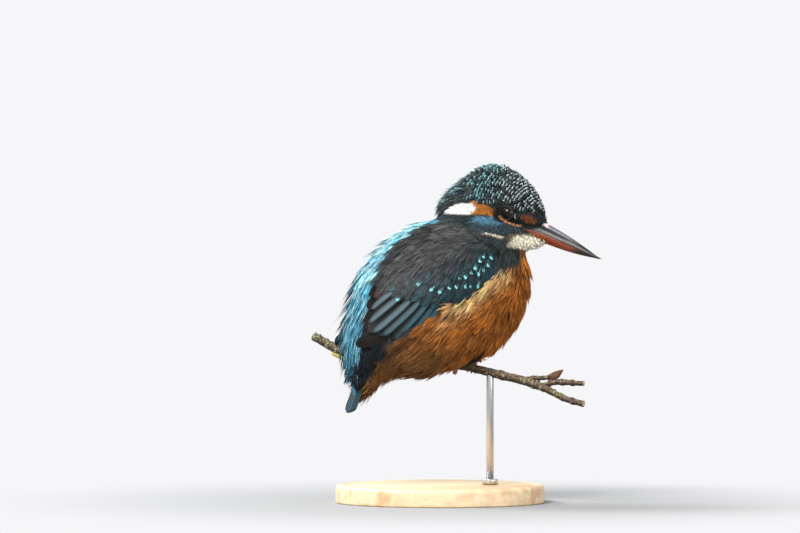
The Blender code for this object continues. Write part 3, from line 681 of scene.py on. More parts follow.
def keep_largest(obj):
    """Drops every loose piece but the largest."""
    made = bmesh.new()
    made.from_mesh(obj.data)
    left, islands = set(made.verts), []
    while left:
        island, todo = [], [left.pop()]
        while todo:
            here = todo.pop()
            island.append(here)
            near = {edge.other_vert(here) for edge in here.link_edges} & left
            left -= near
            todo += near
        islands.append(island)
    islands.sort(key=len)
    bmesh.ops.delete(made, geom=[v for island in islands[:-1] for v in island], context="VERTS")
    made.to_mesh(obj.data)
    made.free()


def remeshed(name, nodes, voxel, smoothing, swell, material, cut_ahead=None):
    """One surface round copies of CAD nodes: swollen to close the thin gaps, remeshed and smoothed.
    cut_ahead drops what lies further ahead of the eyes than that."""
    made = bmesh.new()
    for node in nodes:
        made.from_mesh(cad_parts[node].data)
    bmesh.ops.remove_doubles(made, verts=made.verts, dist=1e-6)
    made.normal_update()
    for vert in made.verts:
        vert.co += vert.normal * swell * MM
    if cut_ahead is not None:
        cut = bmesh.ops.bisect_plane(
            made, geom=[*made.verts, *made.edges, *made.faces], clear_outer=True,
            plane_co=Vector(from_head((cut_ahead, 0, 120))) * MM, plane_no=Vector(turn_from_head((1, 0, 0))),
        )
        bmesh.ops.holes_fill(made, edges=[e for e in cut["geom_cut"] if isinstance(e, bmesh.types.BMEdge)])
    mesh = bpy.data.meshes.new(name)
    made.to_mesh(mesh)
    made.free()
    obj = add_object(name, mesh, material)
    remesh = obj.modifiers.new("remesh", "REMESH")
    remesh.mode = "VOXEL"
    remesh.voxel_size = voxel * MM
    smooth = obj.modifiers.new("smooth", "SMOOTH")
    smooth.factor = 0.5
    smooth.iterations = smoothing
    mesh = bpy.data.meshes.new_from_object(obj.evaluated_get(bpy.context.evaluated_depsgraph_get()))
    obj.modifiers.clear()
    obj.data = mesh
    keep_largest(obj)
    return smooth_shaded(obj)


# ---------------------------------------------------------------- skin

SKIN_VOXEL, SKIN_SWELL, SKIN_SMOOTHING, SKIN_ENDS_AHEAD = 0.8, 0.35, 5, 16.5
DEPTH_BODY, DEPTH_HEAD, DEPTH_FACE, DEPTH_TAIL = 1.5, 1.0, 0.45, 0.9
TAIL_BEHIND = -34
TRIES_PER_SPOT = 5
NEIGHBOURS = [(x, y, z) for x in (-1, 0, 1) for y in (-1, 0, 1) for z in (-1, 0, 1)]


def coat_depth(points):
    """How far the skin lies inside the coat's outer shape."""
    head = on_head(points)
    depth = DEPTH_BODY + (DEPTH_HEAD - DEPTH_BODY) * head
    depth = depth + (DEPTH_FACE - depth) * head * rise(head_axes(points)[0], -6, 6)
    return np.where(trunk_axes(points)[0] < TAIL_BEHIND, np.minimum(depth, DEPTH_TAIL), depth)


class Skin:
    """The bird's bare skin, and what the coat asks of it: the nearest place, its normal, its node."""

    def __init__(self, material):
        nodes = [*FLESH, *WINGS, "eye_left", "eye_right", "bill_upper", "bill_lower"]
        self.obj = remeshed("skin", nodes, SKIN_VOXEL, SKIN_SMOOTHING, SKIN_SWELL, material, SKIN_ENDS_AHEAD)
        points, normals = surface(self.obj)
        put_coordinates(self.obj, points - normals * (coat_depth(points) + SKIN_SWELL)[:, None])
        self.points, self.normals = surface(self.obj)
        self.triangles = triangles_of(self.obj.data)
        self.tree = BVHTree.FromPolygons(self.points.tolist(), self.triangles.tolist())
        self.face_normals = unit(self.normals[self.triangles].mean(1))
        self.nodes, self.wing_face = self.node_tree()

    def node_tree(self):
        points, faces, owner = [], [], []
        for name in (*FLESH, *WINGS):
            triangles = triangles_of(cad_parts[name].data)
            faces += (triangles + len(points)).tolist()
            points += node_points(name).tolist()
            owner += [name in WINGS] * len(triangles)
        return BVHTree.FromPolygons(points, faces), np.array(owner)

    def nearest(self, points):
        """The skin's nearest places and their normals."""
        found = [self.tree.find_nearest(Vector(point)) for point in points]
        places = np.array([place for place, _, _, _ in found])
        return places, self.face_normals[[face for _, _, face, _ in found]]

    def is_wing(self, points):
        """Whether the CAD node nearest to each point is a wing's."""
        return self.wing_face[[self.nodes.find_nearest(Vector(p))[2] for p in points]]

    def scatter(self, spacing, rng, keep):
        """Evenly spread places, about spacing apart, where keep says so."""
        corners = self.points[self.triangles]
        corners = corners[keep(corners.mean(1))]
        edges = corners[:, 1:] - corners[:, :1]
        area = np.linalg.norm(np.cross(edges[:, 0], edges[:, 1]), axis=1) / 2
        tries = int(area.sum() / spacing**2 * TRIES_PER_SPOT)
        chosen = rng.choice(len(corners), tries, p=area / area.sum())
        first, second = np.sqrt(rng.random(tries)), rng.random(tries)
        share = np.stack([1 - first, first * (1 - second), first * second], 1)
        spots = (corners[chosen] * share[..., None]).sum(1)
        grid, taken = {}, []
        for spot, (i, j, k) in zip(spots, np.floor(spots / spacing).astype(int).tolist()):
            near = [grid[i + x, j + y, k + z] for x, y, z in NEIGHBOURS if (i + x, j + y, k + z) in grid]
            if near and ((np.array(near) - spot) ** 2).sum(1).min() < spacing**2:
                continue
            grid[i, j, k] = spot
            taken.append(spot)
        return np.array(taken)


FLANK_A, FLANK_Z = np.arange(-50.0, 36.0), np.arange(56.0, 118.0)
FLANK_FACING, FLANK_FILL_ROUNDS, FLANK_SMOOTH_ROUNDS = 0.5, 400, 6
FLANK_SEEN_FROM, FLANK_SEEN_TO = 60.0, 8.0


class Flank:
    """One side of the skin as a smooth height along w over the trunk's (a, z), carried on past its edges."""

    def __init__(self, skin, side):
        way, reach = Vector(from_trunk((0.0, -side, 0.0))), FLANK_SEEN_FROM - FLANK_SEEN_TO
        heights = np.full((len(FLANK_A), len(FLANK_Z)), np.nan)
        for i, a in enumerate(FLANK_A):
            for j, z in enumerate(FLANK_Z):
                start = Vector(from_trunk((a, side * FLANK_SEEN_FROM, z)))
                place, normal, _, _ = skin.tree.ray_cast(start, way, reach)
                if place is not None and abs(normal.dot(way)) > FLANK_FACING:
                    heights[i, j] = side * to_trunk(np.array(place))[1]
        known = ~np.isnan(heights)
        heights = np.where(known, heights, np.nanmean(heights))
        for _ in range(FLANK_FILL_ROUNDS):
            heights = np.where(known, heights, self.blurred(heights))
        for _ in range(FLANK_SMOOTH_ROUNDS):
            heights = self.blurred(heights)
        self.side, self.heights, self.slopes = side, heights, np.gradient(heights)

    def blurred(self, heights):
        wide = np.pad(heights, 1, mode="edge")
        return (wide[:-2, 1:-1] + wide[2:, 1:-1] + wide[1:-1, :-2] + wide[1:-1, 2:]) / 4

    def at(self, table, i, j):
        low_i, low_j = i.astype(int), j.astype(int)
        p, q = i - low_i, j - low_j
        below = table[low_i, low_j] * (1 - p) + table[low_i + 1, low_j] * p
        above = table[low_i, low_j + 1] * (1 - p) + table[low_i + 1, low_j + 1] * p
        return below * (1 - q) + above * q

    def drape(self, profile):
        """Places and normals on the skin beside places (a, z) of the trunk's profile."""
        a, z = np.moveaxis(np.asarray(profile, float), -1, 0)
        i = np.clip(a - FLANK_A[0], 0, len(FLANK_A) - 1.001)
        j = np.clip(z - FLANK_Z[0], 0, len(FLANK_Z) - 1.001)
        w = self.side * self.at(self.heights, i, j)
        slopes = [self.at(table, i, j) for table in self.slopes]
        normal = unit(np.stack([-slopes[0], np.full_like(w, self.side), -slopes[1]], -1))
        return from_trunk(np.stack([a, w, z], -1)), from_trunk(normal)


# ---------------------------------------------------------------- the lie of the feathers

# Each arrow is a place and the way the feathers lie there. w or b is mirrored for the other side.
TRUNK_ARROWS = (
    # a, w, z, and the way
    (41, 0, 105, 0.0, 0.0, -1.0), (34, 14, 104, -0.3, 0.1, -0.95), (36, 0, 78, -0.5, 0.0, -0.85),
    (32, 16, 84, -0.45, 0.1, -0.9), (10, 0, 58, -1.0, 0.0, -0.2), (10, 21, 70, -0.5, 0.0, -0.85),
    (24, 22, 97, -0.85, 0.1, -0.45), (15, 25, 92, -0.88, 0.1, -0.45), (4, 27, 83, -0.8, 0.0, -0.55),
    (-8, 26, 75, -0.75, 0.0, -0.65), (-18, 20, 66, -0.75, 0.0, -0.65), (-18, 0, 56, -1.0, 0.0, -0.2),
    (-28, 12, 60, -0.6, 0.0, -0.8), (-34, 3, 50, -0.45, 0.0, -0.9), (-38, 9, 60, -0.15, 0.0, -1.0),
    (-43, 0, 68, 0.0, 0.0, -1.0), (-40, 6, 88, -0.25, 0.0, -1.0), (-31, 6, 108, -0.6, 0.0, -0.8),
    (-9, 5, 123, -0.95, 0.0, -0.35), (12, 15, 119, -0.9, 0.2, -0.4), (24, 19, 112, -0.7, 0.1, -0.7),
    (38, 0, 113, 0.0, 0.0, -1.0), (15, 23, 108, -0.4, 0.0, -0.9), (4, 26, 108, -0.42, 0.0, -0.9),
    (-8, 26, 102, -0.52, 0.0, -0.85), (-6, 20, 117, -0.72, 0.0, -0.7), (-20, 20, 106, -0.66, 0.0, -0.75),
    (-30, 14, 96, -0.66, 0.0, -0.75),
)
HEAD_ARROWS = (
    # s, b, z, and the way
    (11, 0, 131, -0.3, 0.0, 0.95), (6, 3, 139, -0.65, 0.05, 0.75), (-8, 0, 148, -1.0, 0.0, 0.0),
    (-22, 0, 144, -1.0, 0.0, -0.05), (-31, 0, 136, -1.0, 0.0, -0.1), (8, 5, 125, -1.0, 0.3, 0.15),
    (1, 9, 132, -0.9, 0.2, 0.45), (-10, 15, 128, -1.0, 0.0, 0.15), (-4, 13, 120, -1.0, 0.2, 0.25),
    (8, 4, 114, -1.0, 0.1, -0.12), (1, 8, 114, -0.95, 0.1, -0.3), (-2, 10, 108, -0.6, 0.1, -0.8),
    (-20, 14, 128, -1.0, 0.0, -0.1), (-12, 14, 137, -1.0, 0.0, 0.15), (12, 0, 112, -0.8, 0.0, -0.6),
)
ARROW_POWER = 3.0


def arrows():
    places, ways = [], []
    tables = ((TRUNK_ARROWS, from_trunk, from_trunk), (HEAD_ARROWS, from_head, turn_from_head))
    for table, place_of, way_of in tables:
        rows = np.array(table, float)
        for side in (LEFT, RIGHT):
            flip = np.array([1.0, side, 1.0])
            places.append(place_of(rows[:, :3] * flip))
            ways.append(way_of(rows[:, 3:] * flip))
    return np.concatenate(places), unit(np.concatenate(ways))


ARROW_PLACES, ARROW_WAYS = arrows()


def along_surface(ways, normals):
    return unit(ways - (ways * normals).sum(-1, keepdims=True) * normals)


def lie(points, normals):
    """The way that the feathers lie at places on the skin."""
    found = np.zeros_like(points)
    for place, way in zip(ARROW_PLACES, ARROW_WAYS):
        weight = 1 / (np.linalg.norm(points - place, axis=1) + 1.0) ** ARROW_POWER
        found += weight[:, None] * way
    return along_surface(found, normals)


# ---------------------------------------------------------------- locks, the fine pieces of the coat

LOCK_STATIONS = np.array([0.0, 0.45, 0.8, 1.0])
BLUNT_STATIONS = np.array([0.0, 0.78, 0.88, 1.0])
LOCK_RINGS = (3, 3, 3, 1)
LOCK_WIDTHS = (0.75, 1.0, 0.7)
LOCK_SIDES = ((0, 3, 4, 1), (1, 4, 5, 2), (2, 5, 3, 0))
LOCK_FACES = [
    *[tuple(k + i for i in face) for k in (0, 3) for face in LOCK_SIDES],
    (0, 1, 2), (6, 9, 7), (7, 9, 8), (8, 9, 6),
]
LOCK_TRIANGLES = sum(len(face) - 2 for face in LOCK_FACES)
LOCK_CORNERS = np.stack([[0.0, 1.0, 0.5] * 3 + [0.5], np.repeat(LOCK_STATIONS, LOCK_RINGS)], 1)
LOCK_DEEP, LOCK_ROLL, LOCK_SIZES, SHORTEST_LOCK = 0.7, 0.35, (0.75, 1.25), 0.25
FEATHER_HEIGHTS_VARY, FEATHER_ROOFED = 0.15, 0.12
PATCH = 0.003
MOST_TRIANGLES = 190_000
PATH_STATIONS = np.linspace(0, 1, 5)
PATH_TURNS = 0.35


def walk(skin, roots, normals, ways, lengths):
    """The path of each feather along the skin: places, normals and ways at each of PATH_STATIONS."""
    steps = [(roots, normals, ways)]
    for step in np.diff(PATH_STATIONS):
        place, _, way = steps[-1]
        place, normal = skin.nearest(place + way * (lengths * step)[:, None])
        steps.append((place, normal, along_surface(unit(way + PATH_TURNS * lie(place, normal)), normal)))
    return [np.stack(rows, 1) for rows in zip(*steps)]


def at_share(table, which, share):
    """Rows of a (feather, station, xyz) table at a share of each feather's length."""
    at = np.clip(share, 0, 1) * (len(PATH_STATIONS) - 1)
    low = np.minimum(at.astype(int), len(PATH_STATIONS) - 2)
    part = (at - low)[:, None]
    return table[which, low] * (1 - part) + table[which, low + 1] * part


class Coat:
    """Soft feathers gathered for the pieces of one part of the coat. Each feather is a fan of locks."""

    def __init__(self, name, material, slot):
        self.name, self.material, self.slot = name, material, slot
        self.points, self.colours, self.roots = [], [], []

    def grow(self, skin, roots, rng, tint, length, width, locks, lock, height, root_lift=0.05, spread=0.2,
             puff=0.3, start=0.45, uneven=0.1, stray=0.08, vary=0.1, round_off=0.3, stations=LOCK_STATIONS,
             ways=None, height_at=None, length_at=None, keep=None):
        """Adds feathers at roots. length and half width are the feather's, lock the half width of one lock,
        height how high the tips stand, puff and uneven how much the locks differ, stray and vary how much the
        feathers do, round_off how much shorter the outer locks are, stations the places along a lock.
        tint(roots, share along, share across, lock places, feather's tone, rng) gives the colours.
        keep tells which tips may stay."""
        if len(roots) == 0:
            return
        roots, normals = skin.nearest(roots)
        way = lie(roots, normals) if ways is None else along_surface(ways, normals)
        way = unit(way + np.cross(normals, way) * rng.normal(0, stray, len(roots))[:, None])
        lengths = length * (1 + rng.normal(0, vary, len(roots)))
        if length_at:
            lengths *= length_at(roots)
        places, normals, forwards = walk(skin, roots, normals, way, lengths)
        which = np.repeat(np.arange(len(roots)), locks)
        count = len(which)
        across = np.tile(np.linspace(-1, 1, locks), len(roots)) + rng.uniform(-1, 1, count) / locks
        begin = rng.uniform(0, start, count)
        end = np.maximum(1 - round_off * across**2 + rng.normal(0, uneven, count), begin + SHORTEST_LOCK)
        heights = height * (1 + rng.normal(0, FEATHER_HEIGHTS_VARY, len(roots)))
        if height_at:
            heights *= height_at(roots)
        heights = heights[which] + rng.uniform(0, puff, count)
        swirl = rng.normal(0, spread, count)
        size = rng.uniform(*LOCK_SIZES, count)
        roll = rng.normal(0, LOCK_ROLL, count)
        rings = []
        for k, station in enumerate(stations):
            share = begin + (end - begin) * station
            base, normal, forward = (at_share(t, which, share) for t in (places, normals, forwards))
            side = np.cross(normal, forward)
            open_by = 0.3 + 0.7 * np.clip(share / 0.6, 0, 1) ** 0.8
            out = (across * open_by + swirl * share) * width
            up = root_lift + heights * np.maximum(share, 0) ** 1.25 - FEATHER_ROOFED * out**2 / width
            over = np.maximum(share - 1, 0) * lengths[which]
            centre = base + side * out[:, None] + normal * up[:, None] + forward * over[:, None]
            if station == 1.0:
                rings.append(centre[:, None])
                continue
            half = (lock * LOCK_WIDTHS[k] * size)[:, None]
            flat = unit(side + normal * roll[:, None])
            crest = np.cross(forward, flat) * half * LOCK_DEEP
            rings.append(np.stack([centre + flat * half, centre - flat * half, centre + crest], 1))
        points = np.concatenate(rings, 1)
        share = begin[:, None] + (end - begin)[:, None] * np.repeat(stations, LOCK_RINGS)
        across = np.broadcast_to(across[:, None], share.shape)
        tone = rng.normal(0, 1, len(roots))[which]
        colours = tint(roots[which], share, across, points, tone, rng)
        stays = keep(points[:, -1]) if keep else np.ones(count, bool)
        for gathered, rows in ((self.points, points), (self.colours, colours), (self.roots, roots[which])):
            gathered.append(rows[stays])

    def pieces(self):
        """Makes the meshes, each under MOST_TRIANGLES."""
        points, colours, roots = (np.concatenate(rows) for rows in (self.points, self.colours, self.roots))
        order = np.argsort(trunk_axes(roots)[1], kind="stable")
        parts = int(np.ceil(len(points) * LOCK_TRIANGLES / MOST_TRIANGLES))
        for number, chosen in enumerate(np.array_split(order, parts)):
            name = self.name if parts == 1 else f"{self.name}_{number + 1}"
            rows = (points[chosen], LOCK_FACES, colours[chosen], LOCK_CORNERS, roots[chosen])
            placed(repeated_mesh(name, *rows, self.material), self.slot)


BODY_MIDLINE = (
    (-40, 47), (-35, 57), (-26, 64), (-12, 74), (0, 90), (10, 107), (20, 119), (26, 132), (46, 122),
)
MAP_MARGIN = 0.01


def unwrap(points):
    """Each place on an unwrap of the body: round its midline, and along it from tail to bill."""
    a, w, z = trunk_axes(points)
    line = evenly(BODY_MIDLINE, 160)
    nearest = np.argmin((a[:, None] - line[:, 0]) ** 2 + (z[:, None] - line[:, 1]) ** 2, axis=1)
    ta, tz = unit(np.gradient(line, axis=0))[nearest].T
    up = -(a - line[nearest, 0]) * tz + (z - line[nearest, 1]) * ta
    places = np.stack([np.arctan2(w, up) / (2 * math.pi) + 0.5, nearest / (len(line) - 1)], 1)
    return MAP_MARGIN + (1 - 2 * MAP_MARGIN) * places


def repeated_mesh(name, points, faces, colours, corners, roots, material, mend=False):
    """One mesh of many alike bodies, with its colours and its bake map. corners are each body's points
    on its own patch of the map, from 0 to 1. mend turns faces that point inwards."""
    count, verts = points.shape[:2]
    mesh = bpy.data.meshes.new(name)
    mesh.vertices.add(count * verts)
    mesh.vertices.foreach_set("co", (points.reshape(-1, 3) * MM).astype(np.float32).ravel())
    loops = np.array([i for face in faces for i in face])
    index = (loops[None] + np.arange(count)[:, None] * verts).ravel()
    mesh.loops.add(len(index))
    mesh.loops.foreach_set("vertex_index", index.astype(np.int32))
    total = np.tile([len(face) for face in faces], count)
    mesh.polygons.add(len(total))
    mesh.polygons.foreach_set("loop_start", np.concatenate([[0], np.cumsum(total)[:-1]]).astype(np.int32))
    mesh.update(calc_edges=True)
    obj = add_object(name, mesh, material)
    if mend:
        face_out(obj)
        index = np.zeros(len(mesh.loops), np.int32)
        mesh.loops.foreach_get("vertex_index", index)
    colour_points(obj, colours.reshape(-1, 3))
    uv = unwrap(roots)[:, None] + (corners - 0.5) * PATCH
    layer = mesh.uv_layers.new(name="OFBake")
    layer.data.foreach_set("uv", uv.reshape(-1, 2)[index].astype(np.float32).ravel())
    return smooth_shaded(obj)


# ---------------------------------------------------------------- tints of the locks

def lit(colour, brightness):
    """A colour at a brightness, within what feathers reflect."""
    return np.clip(colour * brightness[..., None], 0.002, 0.97)


def marking_at(roots, points):
    """The marking under a lock's middle."""
    return markings(0.35 * roots + 0.65 * points[:, 3])[:, None, :]


def face_tint(roots, share, across, points, tone, rng):
    """The markings, darkened by painted shade at the feather's root and lightened by painted light at its
    tip.
    """
    each = 1 + rng.normal(0, 0.16, (len(roots), 1)) + 0.06 * tone[:, None]
    return lit(marking_at(roots, points), (0.96 + (1.35 - 0.96) * np.clip(share, 0, 1)) * each)


def azure_tint(roots, share, across, points, tone, rng):
    """Bright blue strands among deep ones, with painted shade at their roots, and painted light from above
    that brightens them and adds pale strands towards the top. On the far side of the back the tips are dark.
    """
    streak = rng.random((len(roots), 1)) + 0.08 * tone[:, None]
    # painted light from above: brightens the blue and adds pale strands towards the top
    high = ease((roots[:, 2:] - 82) / 36)
    far = rise(trunk_axes(roots)[1][:, None], 2.5, 4) * rise(share, 0.3, 0.4)
    colour = layered(
        AZURE,
        (AZURE_DEEP, (streak < 0.38) * 0.85),
        (AZURE_PALE, (streak > 0.82 - 0.4 * high) * 0.8),
        (COVERT_DARK, far * 0.9),
    )
    # painted light towards the top, painted shade at the roots
    return lit(colour, (0.74 + 0.76 * high) * (0.4 + 0.7 * np.clip(share, 0, 1)))


def breast_tint(roots, share, across, points, tone, rng):
    """Warm strands that lighten to their tips, with painted shade at their roots, and deep brown ones
    between.
    """
    colour = marking_at(roots, points)
    streak = rng.random((len(roots), 1))
    # painted shade: dark at the root, lighter towards the tip; bright colours keep more light
    shade = 0.36 + 0.84 * np.clip(share, 0, 1) ** 1.2
    shade = np.maximum(shade, 1.25 * rise(colour[..., 1], 0.25, 0.3))
    each = 1 + 0.14 * tone[:, None] + np.where(streak < 0.24, -0.5, 0.0) + np.where(streak > 0.82, 0.5, 0.0)
    return lit(colour, shade * each)


def scapular_tint(roots, share, across, points, tone, rng):
    """Grey hair-like strands, teal ones towards the coverts, with painted shade at their roots."""
    teal = teal_share(points[:, 3])[:, None]
    streak = rng.random((len(roots), 1)) + 0.1 * tone[:, None]
    colour = paint(SCAPULAR, SCAPULAR_DARK, (streak < 0.45) * 0.8)
    green = layered(COVERT, (COVERT_DARK, (streak < 0.35) * 0.7), (VANE_TEAL, (streak > 0.86) * 0.6))
    # painted shade: darker towards the root
    return lit(paint(colour, green, teal), 0.45 + 0.65 * np.clip(share, 0, 1))


def covert_tint(roots, share, across, points, tone, rng):
    """Teal feathers with a bright spot at the tip, darkened by painted shade towards the root."""
    dark = (rng.random((len(roots), 1)) < 0.4) * 0.6
    # painted shade: darker towards the root
    colour = paint(COVERT, COVERT_DARK, dark) * (0.4 + 0.6 * np.clip(share, 0, 1))[..., None]
    spot = rise(share, 0.8, 0.05) * fall(np.abs(across), 0.75, 0.12)
    return lit(paint(colour, SPOT, spot), np.ones_like(share))


def crown_tint(roots, share, across, points, tone, rng):
    """Dark feathers with a pale bar near the tip: whitish on the forehead, turquoise further back. Painted
    shade darkens them towards the root.
    """
    s = head_axes(roots)[0]
    front, fade = rise(s, 1, 6), 1 - fall(s, -8, 14)
    amount = np.where(tone > 1.0 - 1.4 * fade - 1.9 * front, 1.0, 0.18) * (0.6 + 0.4 * fade)
    amount *= np.clip(0.9 + 0.1 * tone, 0.6, 1.1)
    pale = paint(CROWN_BAR, CROWN_GLINT, fall(s, 4, 14)[:, None] * 0.85)
    # painted shade: darker towards the root
    dark = CROWN_DARK * (0.35 + 0.5 * np.clip(share, 0, 1))[..., None]
    return lit(paint(dark, pale, rise(share, 0.84, 0.02) * amount[:, None]), np.ones_like(share))


# ---------------------------------------------------------------- plumage of body and head

BODY_SPACING, HEAD_SPACING, CROWN_ROW = 2.1, 1.15, 1.3
EYE_OPENING, EYE_WITHIN = 3.0, -5
BILL_BASE_AT = (12.6, 0.0, 124.5)
COVERT_ROOTS = (
    (-44.0, 106.0), (-36.0, 103.0), (-30.0, 101.0), (-22.0, 97.5), (-14.0, 94.5), (-4.0, 94.5), (6.0, 96.0),
    (14.0, 100.0), (26.0, 106.0),
)
FEET_CLEAR, FEET_TRIM, FEET_TRIM_RISE = 12.0, 11.0, 7.4
TAIL_COVERED_FROM, TAIL_BARE_AHEAD = 57.0, 4.5

# The feathers of each tract, in the words of Coat.grow.
BREAST = dict(
    length=10.0, width=2.5, locks=36, lock=0.17, height=1.5, puff=0.6, stray=0.12, uneven=0.14, spread=0.25,
)
FLANKS = dict(
    length=9.0, width=2.5, locks=44, lock=0.16, height=1.6, root_lift=1.3, puff=0.9, stray=0.2, uneven=0.18,
    spread=0.4,
)
BACK = dict(length=12.0, width=1.7, locks=28, lock=0.15, height=1.3, puff=0.7, uneven=0.16, spread=0.3)
SCAPULARS = dict(
    length=9.5, width=2.1, locks=38, lock=0.11, height=1.5, puff=0.3, uneven=0.12, spread=0.35, stray=0.05,
)
SPOTTED = dict(
    length=7.5, width=1.2, locks=18, lock=0.14, height=2.2, puff=0.1, start=0.25, uneven=0.03, stray=0.0,
    round_off=0.15, spread=0.05, stations=BLUNT_STATIONS,
)
CROWN = dict(
    length=3.2, width=0.95, locks=11, lock=0.13, height=0.8, puff=0.15, start=0.3, uneven=0.03, stray=0.05,
    vary=0.02, round_off=0.12, spread=0.06, stations=BLUNT_STATIONS,
)
NAPE = dict(
    length=6.4, width=0.9, locks=12, lock=0.14, height=1.3, puff=0.8, uneven=0.2, stray=0.2, spread=0.3,
)
FACE = dict(length=2.6, width=0.85, locks=14, lock=0.08, height=0.45, puff=0.12, uneven=0.1, stray=0.06)


def eye_clear(points):
    """True away from the openings of the eyes."""
    clear = np.ones(len(points), bool)
    for side in (LEFT, RIGHT):
        s, b, z = np.moveaxis(to_head(points) - to_head(EYES[side]), -1, 0)
        clear &= ~((np.hypot(s, z) < EYE_OPENING) & (b * side > EYE_WITHIN))
    return clear


def in_rows(points):
    """Moves places on the crown onto rows that circle the bill's base."""
    from_bill = points - from_head(BILL_BASE_AT)
    away = np.linalg.norm(from_bill, axis=1)
    row = np.maximum(np.round(away / CROWN_ROW), 1) * CROWN_ROW
    return from_head(BILL_BASE_AT) + from_bill * (row / away)[:, None]


def covert_area(points):
    """Where the soft feathers of the wing have their roots: above the flat ones."""
    a, _, z = trunk_axes(points)
    return z > line_at(a, COVERT_ROOTS)


def foot_place(word):
    """The middle of a foot, at its lowest."""
    low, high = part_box(f"leg_{word}")
    return np.array([(low.x + high.x) / 2, (low.y + high.y) / 2, low.z]) / MM


def near_feet(points):
    """1 at the feet, 0 away from them."""
    away = [np.linalg.norm(points - foot_place(word), axis=1) for _, word in SIDES]
    return fall(np.minimum(*away), FEET_CLEAR, 4)


def off_the_feet(tips):
    """False for the tips of feathers that would hang over a foot."""
    found = np.ones(len(tips), bool)
    for _, word in SIDES:
        away = tips - foot_place(word)
        found &= (np.hypot(away[:, 0], away[:, 1]) > FEET_TRIM) | (away[:, 2] > FEET_TRIM_RISE)
    return found


def ahead_of_tail(points):
    """How far ahead a place is of the edge where the blue of rump and tail begins."""
    a, _, z = trunk_axes(points)
    return a - line_at(z, TAIL_COVERT_EDGE)


def on_tail(points):
    """True where the tail's flat feathers lie."""
    return (points[:, 2] < TAIL_COVERED_FROM) & (ahead_of_tail(points) < TAIL_BARE_AHEAD)


def face_lengths(points):
    """The feathers shorten from the nape to the bill."""
    return 1 - 0.42 * rise(head_axes(points)[0], -8, 6)


def shaggy(points):
    """The belly's lowest feathers stand out more, but not over the feet."""
    return (1 + 0.7 * fall(points[:, 2], 64, 8)) * (1 - 0.75 * near_feet(points))


def body_lengths(points):
    """Short feathers round the feet and over the tail's root."""
    tail_root = fall(points[:, 2], 68, 4) * fall(ahead_of_tail(points), 1, 2)
    return (1 - 0.5 * near_feet(points)) * (1 - 0.55 * tail_root)


def ruffled(points):
    """The crown's feathers stand higher towards its top and back."""
    s, _, z = head_axes(points)
    return 1 + 1.7 * rise(z, 135, 9) * fall(s, 3, 8)


def far_side(points):
    """The blue feathers past the back's ridge stand out more."""
    return 1 + 1.3 * rise(trunk_axes(points)[1], 1, 5)


def plumage(skin, flanks, fluffy, glossy):
    rng = np.random.default_rng(PLUMAGE_SEED)
    breast = Coat("plumage_breast", fluffy, "breast_feathers")
    back = Coat("plumage_back", glossy, "crown_feathers")
    crown = Coat("plumage_crown", glossy, "crown_feathers")
    face = Coat("plumage_face", fluffy, "neck_feathers")
    wing_coat = Coat("plumage_coverts", glossy, "covert_feathers")

    spots = skin.scatter(BODY_SPACING, rng, lambda p: on_head(p) <= 0.5)
    on_wing = skin.is_wing(spots)
    azure = (azure_share(spots) > 0.5) & ~on_wing
    flank = on_wing & (spots[:, 2] < line_at(trunk_axes(spots)[0], WING_EDGE))
    body = spots[~on_wing & ~azure & ~on_tail(spots)]
    upper = spots[on_wing & ~flank & covert_area(spots)]
    breast.grow(
        skin, body, rng, breast_tint, **BREAST, height_at=shaggy, length_at=body_lengths, keep=off_the_feet,
    )
    breast.grow(skin, spots[flank], rng, breast_tint, **FLANKS)
    back.grow(skin, spots[azure], rng, azure_tint, **BACK, height_at=far_side)
    wing_coat.grow(skin, upper, rng, scapular_tint, **SCAPULARS)
    for flank in flanks:
        spotted_coverts(skin, flank, wing_coat, rng)

    heads = skin.scatter(HEAD_SPACING, rng, lambda p: (on_head(p) > 0.5) & eye_clear(p))
    s, _, z = head_axes(heads)
    crowned = z > line_at(s, CROWN_LINE)
    nape = fall(s, -12, 10) * rise(z, 129, 3) > rng.uniform(0.1, 0.9, len(heads))
    crown.grow(skin, in_rows(heads[crowned & ~nape]), rng, crown_tint, **CROWN, height_at=ruffled)
    crown.grow(skin, heads[nape & crowned][::2], rng, crown_tint, **NAPE)
    face.grow(skin, heads[~crowned], rng, face_tint, **FACE, length_at=face_lengths)
    for coat in (breast, back, crown, face, wing_coat):
        coat.pieces()


# ---------------------------------------------------------------- flat feathers of wing and tail

VANE_ALONG = 1 - (1 - np.linspace(0, 1, 16)) ** 1.4
VANE_ACROSS = np.linspace(-1, 1, 9)
VANE_CORNERS = np.stack(np.meshgrid((VANE_ACROSS + 1) / 2, VANE_ALONG), -1).reshape(-1, 2)
ALONG, ACROSS = VANE_ALONG[:, None], VANE_ACROSS[None, :]
VANE_THICKNESS, VANE_UNDERSIDE = 0.14, 0.6
TIP_FROM, SHAFT_AT, BARB_SLANT = 0.84, 0.3, 1.2


def vane_faces():
    """The faces of one flat feather: an upper and a lower sheet, closed round the rim."""
    n, m = len(VANE_ALONG), len(VANE_ACROSS)
    low = n * m
    faces = []
    for i in range(n - 1):
        for j in range(m - 1):
            a, b, c, d = i * m + j, i * m + j + 1, (i + 1) * m + j + 1, (i + 1) * m + j
            faces += [(a, b, c, d), (low + d, low + c, low + b, low + a)]
    rim = [*range(m), *[i * m + m - 1 for i in range(1, n)], *[(n - 1) * m + j for j in range(m - 2, -1, -1)]]
    rim += [i * m for i in range(n - 2, 0, -1)]
    return faces + [(there, here, low + here, low + there) for here, there in zip(rim, rim[1:] + rim[:1])]


def vane_width(v):
    """Half the width along a flat feather, as a share: narrow at the root, rounded at the tip."""
    tip = np.sqrt(np.clip(1 - ((v - TIP_FROM) / (1 - TIP_FROM)) ** 2, 0.002, 1))
    return (0.6 + 0.4 * rise(v, 0, 0.5)) * np.where(v > TIP_FROM, tip, 1.0)


